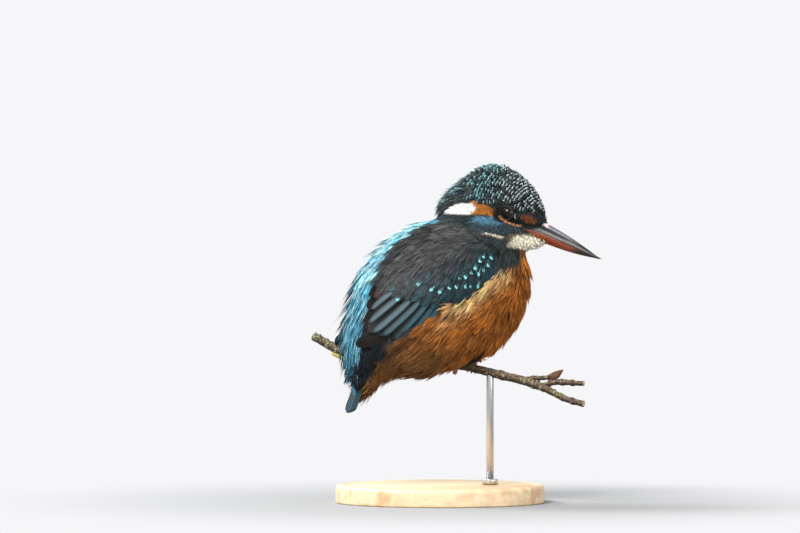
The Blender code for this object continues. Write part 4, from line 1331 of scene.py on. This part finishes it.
class Vanes:
    """Flat feathers gathered for one piece, each on a grid of places along and across it."""

    def __init__(self):
        self.grids, self.normals, self.colours, self.barbs = [], [], [], []

    def add(self, grid, normals, colours, length, half):
        along = ALONG * length - np.abs(VANE_ACROSS - SHAFT_AT) * half * BARB_SLANT
        self.grids.append(grid)
        self.normals.append(normals)
        self.colours.append(colours)
        self.barbs.append(np.stack([along, along * 0, along * 0], -1))

    def lay(self, flank, root, tip, half, lift, tilt, slope, bow, colours):
        """Adds one feather of the folded wing between a root and a tip told as (a, z). tilt raises its
        lower edge, slope its tip, and bow curves it downwards."""
        root, tip = np.array(root, float), np.array(tip, float)
        ahead = unit(tip - root)
        down = np.array([-ahead[1], ahead[0]])
        v, c = ALONG[..., None], ACROSS[..., None]
        axis = root + (tip - root) * v + down * bow * np.sin(math.pi * v)
        places, normals = flank.drape(axis + down * half * vane_width(v) * c)
        height = lift + tilt * c + slope * v - 0.15 * half * (c - SHAFT_AT) ** 2
        self.add(places + normals * height, normals, colours, float(np.linalg.norm(tip - root)), half)

    def piece(self, name, material):
        grids, normals = np.array(self.grids), np.array(self.normals)
        points = np.stack([grids, grids - normals * VANE_THICKNESS], 1).reshape(len(grids), -1, 3)
        colours = np.repeat(np.array(self.colours)[:, None], 2, 1)
        colours[:, 1] *= VANE_UNDERSIDE
        roots = grids[:, 0, len(VANE_ACROSS) // 2]
        corners = np.tile(VANE_CORNERS, (2, 1))
        obj = repeated_mesh(name, points, vane_faces(), colours, corners, roots, material, mend=True)
        layer = obj.data.attributes.new("barb", "FLOAT_VECTOR", "POINT")
        barbs = np.repeat(np.array(self.barbs)[:, None], 2, 1)
        layer.data.foreach_set("vector", barbs.astype(np.float32).ravel())
        return obj


# Curves of feathers' roots and tips on the folded wing, each point as a, z.
FLIGHT_ROOTS = (
    (-26.5, 101.5), (-25.5, 98.9), (-22.9, 97.3), (-18.7, 96.7), (-15.6, 95.8), (-13.2, 94.9), (-10.6, 94.1),
    (-8.0, 93.5),
)
FLIGHT_TIPS = (
    (-38.2, 91.0), (-39.9, 86.2), (-41.4, 80.0), (-39.8, 75.8), (-36.3, 74.6), (-31.7, 73.2), (-27.7, 72.8),
    (-24.7, 73.4),
)
GREATER_ROOTS = ((-22.0, 103.0), (-13.0, 102.5), (-4.0, 101.0), (6.0, 101.0), (14.0, 104.0))
GREATER_TIPS = ((-31.0, 94.0), (-23.5, 89.4), (-15.0, 86.6), (-7.5, 88.0), (1.5, 91.4), (8.0, 94.6))
PRIMARY_TIPS = ((-44.6, 70.0), (-42.4, 70.0), (-39.6, 70.2), (-36.6, 70.6), (-33.6, 71.0), (-30.6, 71.6))
PRIMARY_ROOTS = ((-26.0, 84.0), (-24.0, 83.0), (-21.0, 82.4), (-18.0, 82.0), (-15.0, 82.0), (-12.0, 82.6))
SPOT_ROWS = (
    # the tips' curve, and how many
    (((13.0, 107.4), (9.4, 103.0), (6.4, 101.4)), 4),
    (((9.2, 107.2), (5.6, 104.0), (1.4, 100.6), (-3.0, 98.9)), 6),
    (((5.2, 95.9), (1.8, 95.4), (-1.7, 94.4), (-6.5, 95.0), (-11.2, 93.7), (-15.7, 94.0)), 7),
    (((-20.4, 95.9), (-27.6, 90.2)), 2),
)
SPOT_REACH = 0.92
LEFT_WING_AHEAD = 4.0


def spotted_coverts(skin, flank, coat, rng):
    """Rows of small teal feathers, each with a bright spot at its tip."""
    for curve, count in SPOT_ROWS:
        places, normals = flank.drape(evenly(curve, count))
        ways = lie(places, normals)
        starts = places - ways * SPOTTED["length"] * SPOT_REACH
        coat.grow(skin, starts, rng, covert_tint, **SPOTTED, ways=ways)


def flight_colours(share, v, c, rng):
    """Blue-grey outer webs on near-black, greyer above and more teal below."""
    web = VANE_GREY + (VANE_TEAL - VANE_GREY) * rise(share, 0.35, 0.5)
    outer = rise(c, 0.12, 0.1) * fall(c, 1.04, 0.12) * (fall(v, 0.97, 0.1) * ease(share / 0.1))
    brown = fall(share, 0.1, 0.05) * rise(c, -0.2, 0.3) * fall(v, 0.95, 0.08)
    return layered(
        WING_BLACK,
        (web, outer * (0.85 + 0.15 * rng.random())),
        (WING_BROWN, hump(c, 0.22, 0.07) * 0.6),
        (WING_BROWN * 1.6, brown),
    )


def greater_colours(share, v, c, rng):
    even = np.ones_like(v)
    dark, teal = fall(c, 0.1, 0.3) * even, rise(c, 0.3, 0.3) * 0.35 * even
    colour = layered(COVERT, (COVERT_DARK, dark), (VANE_TEAL, teal))
    return colour * (0.85 + 0.3 * rng.random())


def primary_colours(share, v, c, rng):
    return paint(WING_BLACK, WING_BROWN, rise(c, 0.1, 0.5) * 0.5 * np.ones_like(v))


WING_ROWS = (
    # node, slot, tips, roots, count,
    # half width, lift, tilt, slope, bow, colours
    (
        "primaries", "flight_feathers", PRIMARY_TIPS, PRIMARY_ROOTS, 6,
        2.3, 0.35, 0.25, 0.1, 0.3, primary_colours,
    ),
    (
        "secondaries", "flight_feathers", FLIGHT_TIPS, FLIGHT_ROOTS, 8,
        2.6, 0.7, 0.3, 0.35, 0.0, flight_colours,
    ),
    (
        "coverts", "covert_feathers", GREATER_TIPS, GREATER_ROOTS, 11,
        2.1, 1.0, 0.15, 0.3, 0.2, greater_colours,
    ),
)


def wing(flank, word, material):
    rng = np.random.default_rng(WING_SEED)
    for part, slot, tips, roots, count, *shape, colours in WING_ROWS:
        vanes = Vanes()
        roots, tips = (rows if len(rows) == count else evenly(rows, count) for rows in (roots, tips))
        if flank.side == LEFT and part != "primaries":
            tips = np.array(tips) + (LEFT_WING_AHEAD, 0.0)
        for i, (root, tip) in enumerate(zip(roots, tips)):
            vanes.lay(flank, root, tip, *shape, colours(i / (count - 1), ALONG, ACROSS, rng))
        placed(vanes.piece(f"vanes_{word}_{part}", material), slot, f"wing_{word}_{part}")


TAIL_ROOT, TAIL_TIP = np.array([-35.4, 0.0, 61.5]), np.array([-43.2, 0.0, 41.0])
TAIL_FEATHERS, TAIL_HALF, TAIL_SPREAD, TAIL_OVER, TAIL_ROUNDED = 12, 2.0, 5.2, 0.9, 1.6


def tail(material):
    """Twelve rectrices in a shallow roof, the middle pair on top."""
    down = unit(TAIL_TIP - TAIL_ROOT)
    side = np.array([0.0, 1.0, 0.0])
    back = np.cross(side, down)
    length = np.linalg.norm(TAIL_TIP - TAIL_ROOT) + TAIL_OVER
    vanes = Vanes()
    v, c = ALONG[..., None], ACROSS[..., None]
    even = np.ones_like(ALONG)
    stripe, dark_tip = hump(ACROSS, 0.45, 0.35) * even * 0.7, rise(ALONG, 0.93, 0.06) * 0.6
    colours = layered(WING_BLACK, (TAIL_BLUE, stripe), (WING_BLACK, dark_tip))
    for i in range(TAIL_FEATHERS):
        place = (i - (TAIL_FEATHERS - 1) / 2) / (TAIL_FEATHERS / 2)
        own = length - TAIL_ROUNDED * place**2
        axis = TAIL_ROOT + down * own * v + side * place * TAIL_SPREAD * (0.75 + 0.3 * v)
        height = 0.3 - 0.75 * abs(place) - 0.12 * (c - SHAFT_AT) ** 2 + 0.05 * c
        grid = axis + side * math.copysign(1.0, place) * TAIL_HALF * vane_width(v) * c + back * height
        vanes.add(from_trunk(grid), np.broadcast_to(from_trunk(back), grid.shape), colours, own, TAIL_HALF)
    placed(vanes.piece("vanes_tail", material), "tail_feathers", "tail")


# ---------------------------------------------------------------- bill

# The grey is a painted highlight along the upper mandible's flank.
BILL_BLACK, BILL_HIGHLIGHT_GREY, BILL_PINK = linear(22, 20, 23), linear(150, 148, 158), linear(232, 208, 204)
BILL_RED, BILL_LIP = linear(126, 58, 32), linear(190, 110, 84)
BILL_GROWS_FROM, BILL_GROWS_BY = 4.0, 8.6
BILL_AROUND, BILL_FLOOR = 33, 9
BILL_STATIONS_APART, BILL_RING_WIDE, BILL_TIP_HALF, MOUTH_GAP = 1.5, 0.12, 0.22, 0.36
BILL_ROUNDNESS = {"bill_upper": 1.25, "bill_lower": 1.05}
GROOVE_AT, GROOVE_WIDE, GROOVE_DEPTH, GROOVE_STARTS, GROOVE_ENDS = 0.27, 0.07, 0.22, 12.5, 28.0
NOSTRIL_AT, NOSTRIL_SIZE, NOSTRIL_DEPTH = (15.0, 0.30), (0.9, 0.045), 0.5


def bill_rows(name):
    """The CAD bill's stations: place along the head, top z, bottom z and half width, with a firm tip."""
    s, b, z = head_axes(node_points(name))
    found = []
    for place in np.unique(s.round(1)):
        if found and place - found[-1][0] < BILL_STATIONS_APART:
            continue
        ring = np.abs(s - place) < BILL_RING_WIDE
        found.append(np.array([place, z[ring].max(), z[ring].min(), np.abs(b[ring]).max()]))
    if found[-1][3] > 2 * BILL_TIP_HALF:
        found.append(found[-1] + 0.65 * (found[-1] - found[-2]))
    rows = through(found, 6)
    rows[:, 3] = np.maximum(rows[:, 3], BILL_TIP_HALF)
    rows[:, 2] = np.minimum(rows[:, 2], rows[:, 1] - 1.5 * BILL_TIP_HALF)
    if name == "bill_lower":
        rows[:, 1] += MOUTH_GAP
    return rows


def mandible(name, colour_at, material, slot):
    """One half of the bill, with its ridge, groove, nostrils and lips. It tapers back to the gape."""
    rows = bill_rows(name)
    upper = name == "bill_upper"
    base, tip = BILL_BASE_AT[0], rows[-1, 0]
    arc = np.linspace(0, math.pi, BILL_AROUND)
    flank = np.minimum(arc, math.pi - arc) / math.pi
    flanks = np.concatenate([flank, np.zeros(BILL_FLOOR)])
    rings, colours = [], []
    for s, top, bottom, half in rows:
        lip, edge = (bottom, top) if upper else (top, bottom)
        grown = 0.1 + 0.9 * rise(s, BILL_GROWS_FROM, BILL_GROWS_BY)
        window = rise(s, GROOVE_STARTS, 2) * fall(s, GROOVE_ENDS, 8)
        groove = GROOVE_DEPTH * window * hump(flank, GROOVE_AT, GROOVE_WIDE)
        hole = hump(s, NOSTRIL_AT[0], NOSTRIL_SIZE[0]) * hump(flank, NOSTRIL_AT[1], NOSTRIL_SIZE[1])
        scale = 1 - (groove + NOSTRIL_DEPTH * hole * upper) / max(half, 0.6)
        heights = lip + (edge - lip) * grown * np.sin(arc) ** BILL_ROUNDNESS[name] * (0.5 + 0.5 * scale)
        floor_b = np.linspace(-half, half, BILL_FLOOR + 2)[1:-1] * 0.96
        rings.append(np.stack([
            np.full(len(flanks), s),
            np.concatenate([half * np.cos(arc) * scale, floor_b]),
            np.concatenate([heights, np.full(BILL_FLOOR, lip)]),
        ], 1))
        streak = 0.1 * math.sin(3.1 * s) * np.sin(23 * flanks)
        colours.append(colour_at((s - base) / (tip - base), s, flanks, streak))
    solids = Solids()
    solids.loft(from_head(np.array(rings)), np.array(colours))
    placed(solids.piece(f"{name}_fine", material), slot, name)


def upper_bill_colour(share, s, flank, streak):
    """Black, with a painted highlight as a pale band along the flank, a pink base and an orange lip near the
    gape.
    """
    band = hump(flank, 0.36, 0.06) * rise(share, -0.05, 0.1) * fall(share, 0.75, 0.4)
    root = fall(s, 16.2, 1.5) * rise(flank, 0.3, 0.06) * rise(s, 12, 1)
    lip = fall(flank, 0.045, 0.03) * fall(share, 0.5, 0.3)
    # painted highlight: a pale band along the flank, broken by the streaks
    painted_highlight = np.clip(band * 0.75 + streak * band, 0, 1)
    return layered(BILL_BLACK, (BILL_HIGHLIGHT_GREY, painted_highlight), (BILL_PINK, root * 0.8), (BILL_LIP, lip * 0.8))


def lower_bill_colour(share, s, flank, streak):
    """Orange-red, blackish over the last third and along the keel."""
    dark = ease((share - 0.42 - 0.3 * (0.25 - flank)) / 0.25)
    lip = fall(flank, 0.03, 0.03) * fall(share, 0.35, 0.2)
    return layered(BILL_RED, (BILL_BLACK, np.clip(dark + streak * 0.5, 0, 1)), (BILL_PINK, lip * 0.5))


# ---------------------------------------------------------------- eyes

LID_DARK, IRIS_BROWN, CRESCENT_PINK = linear(38, 31, 30), linear(20, 12, 9), linear(118, 108, 107)
EYE_RADIUS, CORNEA, CORNEA_WIDE = 3.7, 0.05, 0.7
PUPIL, IRIS = math.radians(24), math.radians(46)
LIDS = (
    # from, to in degrees, reach, lift, radius, beads, colour
    (8, 172, 2.95, 0.1, 0.3, 34, LID_DARK),
    (188, 352, 2.95, 0.1, 0.3, 34, LID_DARK),
    (20, 165, 3.45, -0.05, 0.26, 15, LID_DARK * 0.8),
)
CRESCENT_AT, CRESCENT_OUT, CRESCENT_SIZE, CRESCENT_RADIUS = (5.0, -1.35), 2.3, 1.25, 0.34


def eyes(wet, bare):
    polar = np.linspace(0.03, math.pi - 0.03, 48)
    radius = EYE_RADIUS * (1 + CORNEA * (hump(polar, 0, CORNEA_WIDE) - 0.6))
    profile = np.stack([radius * np.sin(polar), radius * np.cos(polar)], 1)
    black = np.clip(fall(polar, PUPIL, 0.05) + rise(polar, IRIS, 0.05), 0, 1)
    colour = paint(IRIS_BROWN, LORE_BLACK * 0.4, black)
    for side, word in SIDES:
        ball = Solids()
        turned(ball, profile, colour, EYES[side], turn_from_head((0.08, side, 0.0)))
        placed(ball.piece(f"eyeball_{word}", wet), "eye", f"eye_{word}")
        placed(eyelids(side).piece(f"eyelids_{word}", bare), "eye")


def eyelids(side):
    """The beaded rims of both lids, a fold above them, and the pale skin at the eye's front corner."""
    ahead, out = turn_from_head((1.0, 0.0, 0.0)), turn_from_head((0.0, float(side), 0.0))
    made = Solids()
    for start, end, reach, lift, radius, beads, colour in LIDS:
        angle = np.linspace(math.radians(start), math.radians(end), 72)
        ends = np.sin(math.pi * np.linspace(0.02, 0.98, 72)) ** 0.35
        far = reach * (1 + 0.05 * np.cos(angle) ** 4)
        flat = far[:, None] * (np.cos(angle)[:, None] * ahead + np.sin(angle)[:, None] * UP)
        depth = np.sqrt(np.maximum(EYE_RADIUS**2 - far**2, 0.5)) + lift
        path = EYES[side] + flat + out * depth[:, None]
        made.loft(tube_rings(path, radius * ends * (1 + 0.1 * np.sin(angle * beads)), 8, out), colour)
    turn = np.linspace(math.radians(118), math.radians(262), 22)
    curve = CRESCENT_SIZE * (0.75 * np.cos(turn)[:, None] * ahead + np.sin(turn)[:, None] * UP)
    path = EYES[side] + ahead * CRESCENT_AT[0] + UP * CRESCENT_AT[1] + curve + out * CRESCENT_OUT
    radii = CRESCENT_RADIUS * np.sin(math.pi * np.linspace(0.04, 0.96, 22)) ** 0.6
    made.loft(tube_rings(path, radii, 8, out), CRESCENT_PINK)
    return made


# ---------------------------------------------------------------- feet

TOE_RED, CLAW_DARK = linear(130, 66, 52), linear(30, 24, 22)
BRANCH_AT, BRANCH_YAW = (7.0, 2.8), math.radians(25.0)
BRANCH_AHEAD = np.array([math.cos(BRANCH_YAW), -math.sin(BRANCH_YAW), 0.0])
BRANCH_ACROSS = np.array([math.sin(BRANCH_YAW), math.cos(BRANCH_YAW), 0.0])
ABOVE_BRANCH, BELOW_BRANCH = 90.0, 20.0
FEET_APART = 12.6
TOE_RADII, TOE_GAP, CLAW_RADIUS = (1.3, 1.0), 0.3, 0.58
TOE_START, PADS, SCUTES = 0.16, 3, 16
# Each toe as its turn round the branch in degrees and its slide along it.
TOES = ((108, -2.0), (112, 0.0), (108, 2.0), (-165, -7.5))
CLAW_TURN, CLAW_OVERLAP, CLAW_POINT = math.radians(34), 0.08, 0.06
SHANK_RADIUS, SHANK_RISE, SHANK_BACK, SHANK_SCUTES = 1.15, 8.2, 4.4, 14


class Branch:
    """The CAD perch's middle line and radius, found by looking at it from above and below."""

    def __init__(self):
        triangles = triangles_of(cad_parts["perch"].data)
        self.tree = BVHTree.FromPolygons(node_points("perch").tolist(), triangles.tolist())

    def at(self, x):
        y = BRANCH_AT[1] - (x - BRANCH_AT[0]) * math.tan(BRANCH_YAW)
        top = self.tree.ray_cast(Vector((x, y, ABOVE_BRANCH)), Vector((0, 0, -1)))[0]
        bottom = self.tree.ray_cast(Vector((x, y, BELOW_BRANCH)), Vector((0, 0, 1)))[0]
        return np.array([x, y, (top.z + bottom.z) / 2]), (top.z - bottom.z) / 2


def feet(branch, scaly, horn):
    for side, word in SIDES:
        leg, claws = Solids(), Solids()
        foot_x = BRANCH_AT[0] - side * FEET_APART / 2 * BRANCH_AHEAD[0]
        for turn, slide in TOES:
            toe(branch, leg, claws, foot_x, math.radians(turn), slide)
        middle, radius = branch.at(foot_x)
        ankle = middle + np.array([0, 0, radius + TOE_GAP + TOE_RADII[0]])
        hip = ankle - from_trunk((SHANK_BACK, 0.0, 0.0)) + np.array([0, 0, SHANK_RISE])
        share = np.linspace(0, 1, 30)
        scutes = SHANK_RADIUS * (1 + 0.05 * ((share * SHANK_SCUTES) % 1.0))
        leg.loft(tube_rings(ankle + (hip - ankle) * share[:, None], scutes, 14, BRANCH_ACROSS), TOE_RED)
        placed(leg.piece(f"foot_{word}", scaly), "leg_skin", f"leg_{word}")
        placed(claws.piece(f"claws_{word}", horn), "bill_black")


def toe(branch, leg, claws, foot_x, turn, slide):
    """A scaled toe round the branch from its top, with pads below, and its claw."""
    ahead = BRANCH_ACROSS * math.copysign(1.0, turn)
    reach = abs(turn) + CLAW_TURN

    def path_at(angles):
        found = []
        for angle in angles:
            shift = slide * (TOE_START + (1 - TOE_START) * angle / reach)
            middle, radius = branch.at(foot_x + shift * BRANCH_AHEAD[0])
            far = radius + TOE_GAP + TOE_RADII[0]
            found.append(middle + far * (ahead * math.sin(angle) + UP * math.cos(angle)))
        return np.array(found)

    share = np.linspace(0, 1, 40)
    knuckles = 1 + 0.1 * np.cos(2 * math.pi * PADS * share) + 0.045 * ((share * SCUTES) % 1.0)
    radii = (TOE_RADII[0] + (TOE_RADII[1] - TOE_RADII[0]) * share) * knuckles
    radii[-3:] *= (0.95, 0.85, 0.7)
    leg.loft(tube_rings(path_at(share * abs(turn)), radii, 14, BRANCH_AHEAD), TOE_RED)
    share = np.linspace(0, 1, 14)
    claw = path_at(abs(turn) - CLAW_OVERLAP + share * (CLAW_TURN + CLAW_OVERLAP))
    claws.loft(tube_rings(claw, CLAW_RADIUS * (1 - share) ** 0.8 + CLAW_POINT, 12, BRANCH_AHEAD), CLAW_DARK)


# ---------------------------------------------------------------- branch

BARK, BARK_DARK, BARK_PALE = linear(112, 96, 80), linear(44, 34, 28), linear(174, 160, 140)
LICHEN, MOSS = linear(146, 148, 112), linear(122, 144, 40)
CUT_WOOD, STUB_WOOD, BUD_RED = linear(214, 190, 146), linear(190, 176, 110), linear(104, 72, 52)
BARK_VOXEL, BARK_SMOOTHING, CUT_FACING, CUT_DEEP = 0.36, 3, 0.75, 1.5
# Along x: the knots with their height and width, and the middles of the lichen patches with their width.
KNOTS, KNOT_HEIGHT, KNOT_WIDE = (-46.5, -34.0, 27.0, 40.5, 53.5, 57.8), 0.35, 0.9
LICHEN_AT, LICHEN_WIDE = (-50, 36), 8
# Where crusts sit on the branch: from x, to x, below z, how many, colour
CRUSTS = ((-56.0, -46.0, 99.0, 26, LICHEN), (30.0, 46.0, 99.0, 16, LICHEN), (48.0, 53.0, 51.5, 14, MOSS))
SNAG = ((-47.0, 27.6, 65.2), (-45.0, 26.4, 64.0), (-42.9, 25.3, 62.9), (-41.3, 24.5, 62.2))
SNAG_RADII = np.linspace(1.5, 0.95, 16)
BUD_WAY, BUD_LENGTH, BUD_RADIUS, BUD_SCALES = np.array([0.78, -0.32, 0.62]), 7.2, 1.75, 3.5


def perch(bark):
    obj = remeshed("branch_bark", ["perch"], BARK_VOXEL, BARK_SMOOTHING, 0.0, bark)
    points, normals = surface(obj)
    along = points[:, 0]
    rough = 0.07 * ripple(points, 1.7, 3.0) + 0.1 * ripple(points, 4.5, 1.0) + 0.04 * ripple(points, 0.8, 5.0)
    patches = sum(hump(along, x, LICHEN_WIDE) for x in LICHEN_AT)
    colour = layered(
        BARK,
        # painted shade: the bark darkens where it faces down
        (BARK_DARK, ease(0.5 - normals[:, 2] * 1.2) * 0.8),
        # darker in the furrows of the bark's relief, partly their own colour and partly painted shade
        (BARK_DARK, ease(-0.1 - 2.5 * ripple(points, 1.7, 3.0)) * 0.6),
        (BARK_PALE, rise(ripple(points, 2.1, 8.0), 0.55, 0.15) * 0.6),
        (LICHEN, rise(ripple(points, 3.0, 6.0) + 0.4 * patches, 0.8, 0.2) * 0.7),
    )
    flat = np.abs(normals @ BRANCH_AHEAD) > CUT_FACING
    for end in (flat & (along < along.min() + CUT_DEEP), flat & (along > along.max() - CUT_DEEP)):
        if end.any():
            away = np.linalg.norm(points[end] - points[end].mean(0), axis=1)
            colour[end] = CUT_WOOD * (0.85 + 0.15 * np.sin(9 * away))[:, None]
            rough[end] = 0.0
    knots = sum(KNOT_HEIGHT * hump(along, x, KNOT_WIDE) for x in KNOTS)
    put_coordinates(obj, points + normals * (rough + knots)[:, None])
    colour_points(obj, colour)
    placed(obj, "bark", "perch")
    crust(obj, bark)
    bud(bark)


def crust(branch_obj, material):
    """Small crusts of lichen and a little moss on the branch's upper side."""
    rng = np.random.default_rng(CRUST_SEED)
    points, normals = surface(branch_obj)
    polar = np.linspace(0.05, math.pi - 0.1, 7)
    made = Solids()
    for start, end, below, count, colour in CRUSTS:
        near = (points[:, 0] > start) & (points[:, 0] < end) & (points[:, 2] < below)
        for i in rng.choice(np.flatnonzero(near & (normals[:, 2] > 0.1)), count):
            size = rng.uniform(0.28, 0.6)
            height = size * rng.uniform(0.5, 1.1)
            profile = np.stack([size * np.sin(polar) * rng.uniform(0.7, 1.3, 7), height * np.cos(polar)], 1)
            way = unit(normals[i] + rng.normal(0, 0.35, 3))
            turned(made, profile, colour * rng.uniform(0.6, 1.3), points[i], way, sides=9)
    placed(made.piece("branch_lichen", material), "bark")


def bud(material):
    """The spur's pointed bud with its overlapping scales, and a short yellowish snag near the tail."""
    points = node_points("perch")
    tip = points[np.argmax(np.where(points[:, 0] > 40, points[:, 2], 0))]
    way = unit(BUD_WAY)
    share = np.linspace(0, 1, 26)
    scales = (1 + 0.14 * ((share * BUD_SCALES) % 1.0)) * (1 - 0.35 * share)
    radii = BUD_RADIUS * np.sin(math.pi * share**0.8) ** 0.8 * scales + 0.05
    profile = np.stack([radii, BUD_LENGTH * share], 1)
    made = Solids()
    turned(made, profile, BUD_RED, tip - way * (BUD_LENGTH - 0.6), way, sides=20)
    made.loft(tube_rings(through(SNAG, 5), SNAG_RADII, 12, UP), STUB_WOOD)
    placed(made.piece("branch_bud", material), "bark")


# ---------------------------------------------------------------- stand

BASE_HOLLOW, BASE_EDGES, BASE_GROOVE = 0.35, (0.8, 1.8), 0.25
METAL_EDGES = {"stand_ferrule": 0.5, "stand_rod": 0.2}
ROD_SHORT_OF_BRANCH = 1.2
PAINT = grey(0.5)


def round_edge(radius, height, edge, up):
    """Profile rows over a rounded edge, from the rim's side to its face."""
    angle = np.linspace(0, math.pi / 2, 7)
    rows = np.stack([radius - edge + edge * np.cos(angle), np.sin(angle) * edge * up + height - edge * up], 1)
    return rows.tolist()


def stand(branch, wood, steel):
    """A turned wooden base with a groove round its top, a brushed rod and its ferrule."""
    low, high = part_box("stand_base")
    radius, height = (high.x - low.x) / 2 / MM, high.z / MM
    profile = [
        (1.0, BASE_HOLLOW), (radius - 3.0, BASE_HOLLOW), (radius - 2.6, 0.0),
        *round_edge(radius, 0.0, BASE_EDGES[0], -1)[::-1], *round_edge(radius, height, BASE_EDGES[1], 1),
        (radius - 4.0, height), (radius - 4.3, height - BASE_GROOVE), (radius - 4.9, height - BASE_GROOVE),
        (radius - 5.2, height), (1.0, height),
    ]
    base = Solids()
    turned(base, profile, PAINT, np.zeros(3), sides=160)
    placed(base.piece("base_turned", wood), "stand_wood", "stand_base")
    for node, edge in METAL_EDGES.items():
        low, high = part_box(node)
        middle = middle_of(node) * (1, 1, 0)
        radius, bottom, top = (high.x - low.x) / 2 / MM, low.z / MM, high.z / MM
        if node == "stand_rod":
            top = branch.at(middle[0])[0][2] - ROD_SHORT_OF_BRANCH
        made = Solids()
        profile = [(0.3, bottom), (radius, bottom), *round_edge(radius, top, edge, 1), (0.3, top)]
        turned(made, profile, PAINT, middle, sides=56)
        placed(made.piece(node + "_fine", steel), "stand_metal", node)


# ---------------------------------------------------------------- the object

# The skin under the coat shows the markings darkened by this share, as painted shade among the feathers.
SKIN_SHADE = 0.45


def main():
    camera()
    studio()
    floor()
    fluffy = painted_material("feathers_fluffy", 0.75, 0.15, 1.1, sheen=0.04)
    glossy = painted_material("feathers_glossy", 0.5, 0.35, 1.1, sheen=0.02)
    flat = vane_material("feathers_flat")
    horny = painted_material("bill_horn", 0.36, 0.35, 1.5, mottle=0.25, bumps=(0.8, 0.02))
    wet = painted_material("eye_wet", 0.1, 0.2, 2.0, mottle=0.1, coat=0.15)
    bare = painted_material("bare_skin", 0.5, 0.4, 0.6, mottle=0.35, bumps=(0.4, 0.05))
    bark = painted_material("bark", 0.85, 0.2, 0.9, mottle=0.45, bumps=(0.6, 0.12))

    skin = Skin(fluffy)
    wing_skin = skin.is_wing(skin.points)
    wing_colours = paint(SCAPULAR, COVERT, teal_share(skin.points))
    colours = np.where(wing_skin[:, None], wing_colours, markings(skin.points))
    colours[wing_skin & ~covert_area(skin.points)] = WING_BLACK
    # painted shade: the skin between the feathers is darker than the markings
    colour_points(skin.obj, colours * SKIN_SHADE)
    placed(skin.obj, "breast_feathers", *FLESH)

    flanks = [Flank(skin, side) for side, _ in SIDES]
    plumage(skin, flanks, fluffy, glossy)
    for flank, (_, word) in zip(flanks, SIDES):
        wing(flank, word, flat)
    tail(flat)
    mandible("bill_upper", upper_bill_colour, horny, "bill_black")
    mandible("bill_lower", lower_bill_colour, horny, "bill_orange")
    eyes(wet, bare)
    branch = Branch()
    feet(branch, bare, horny)
    perch(bark)
    stand(branch, wood_material(), steel_material())


main()
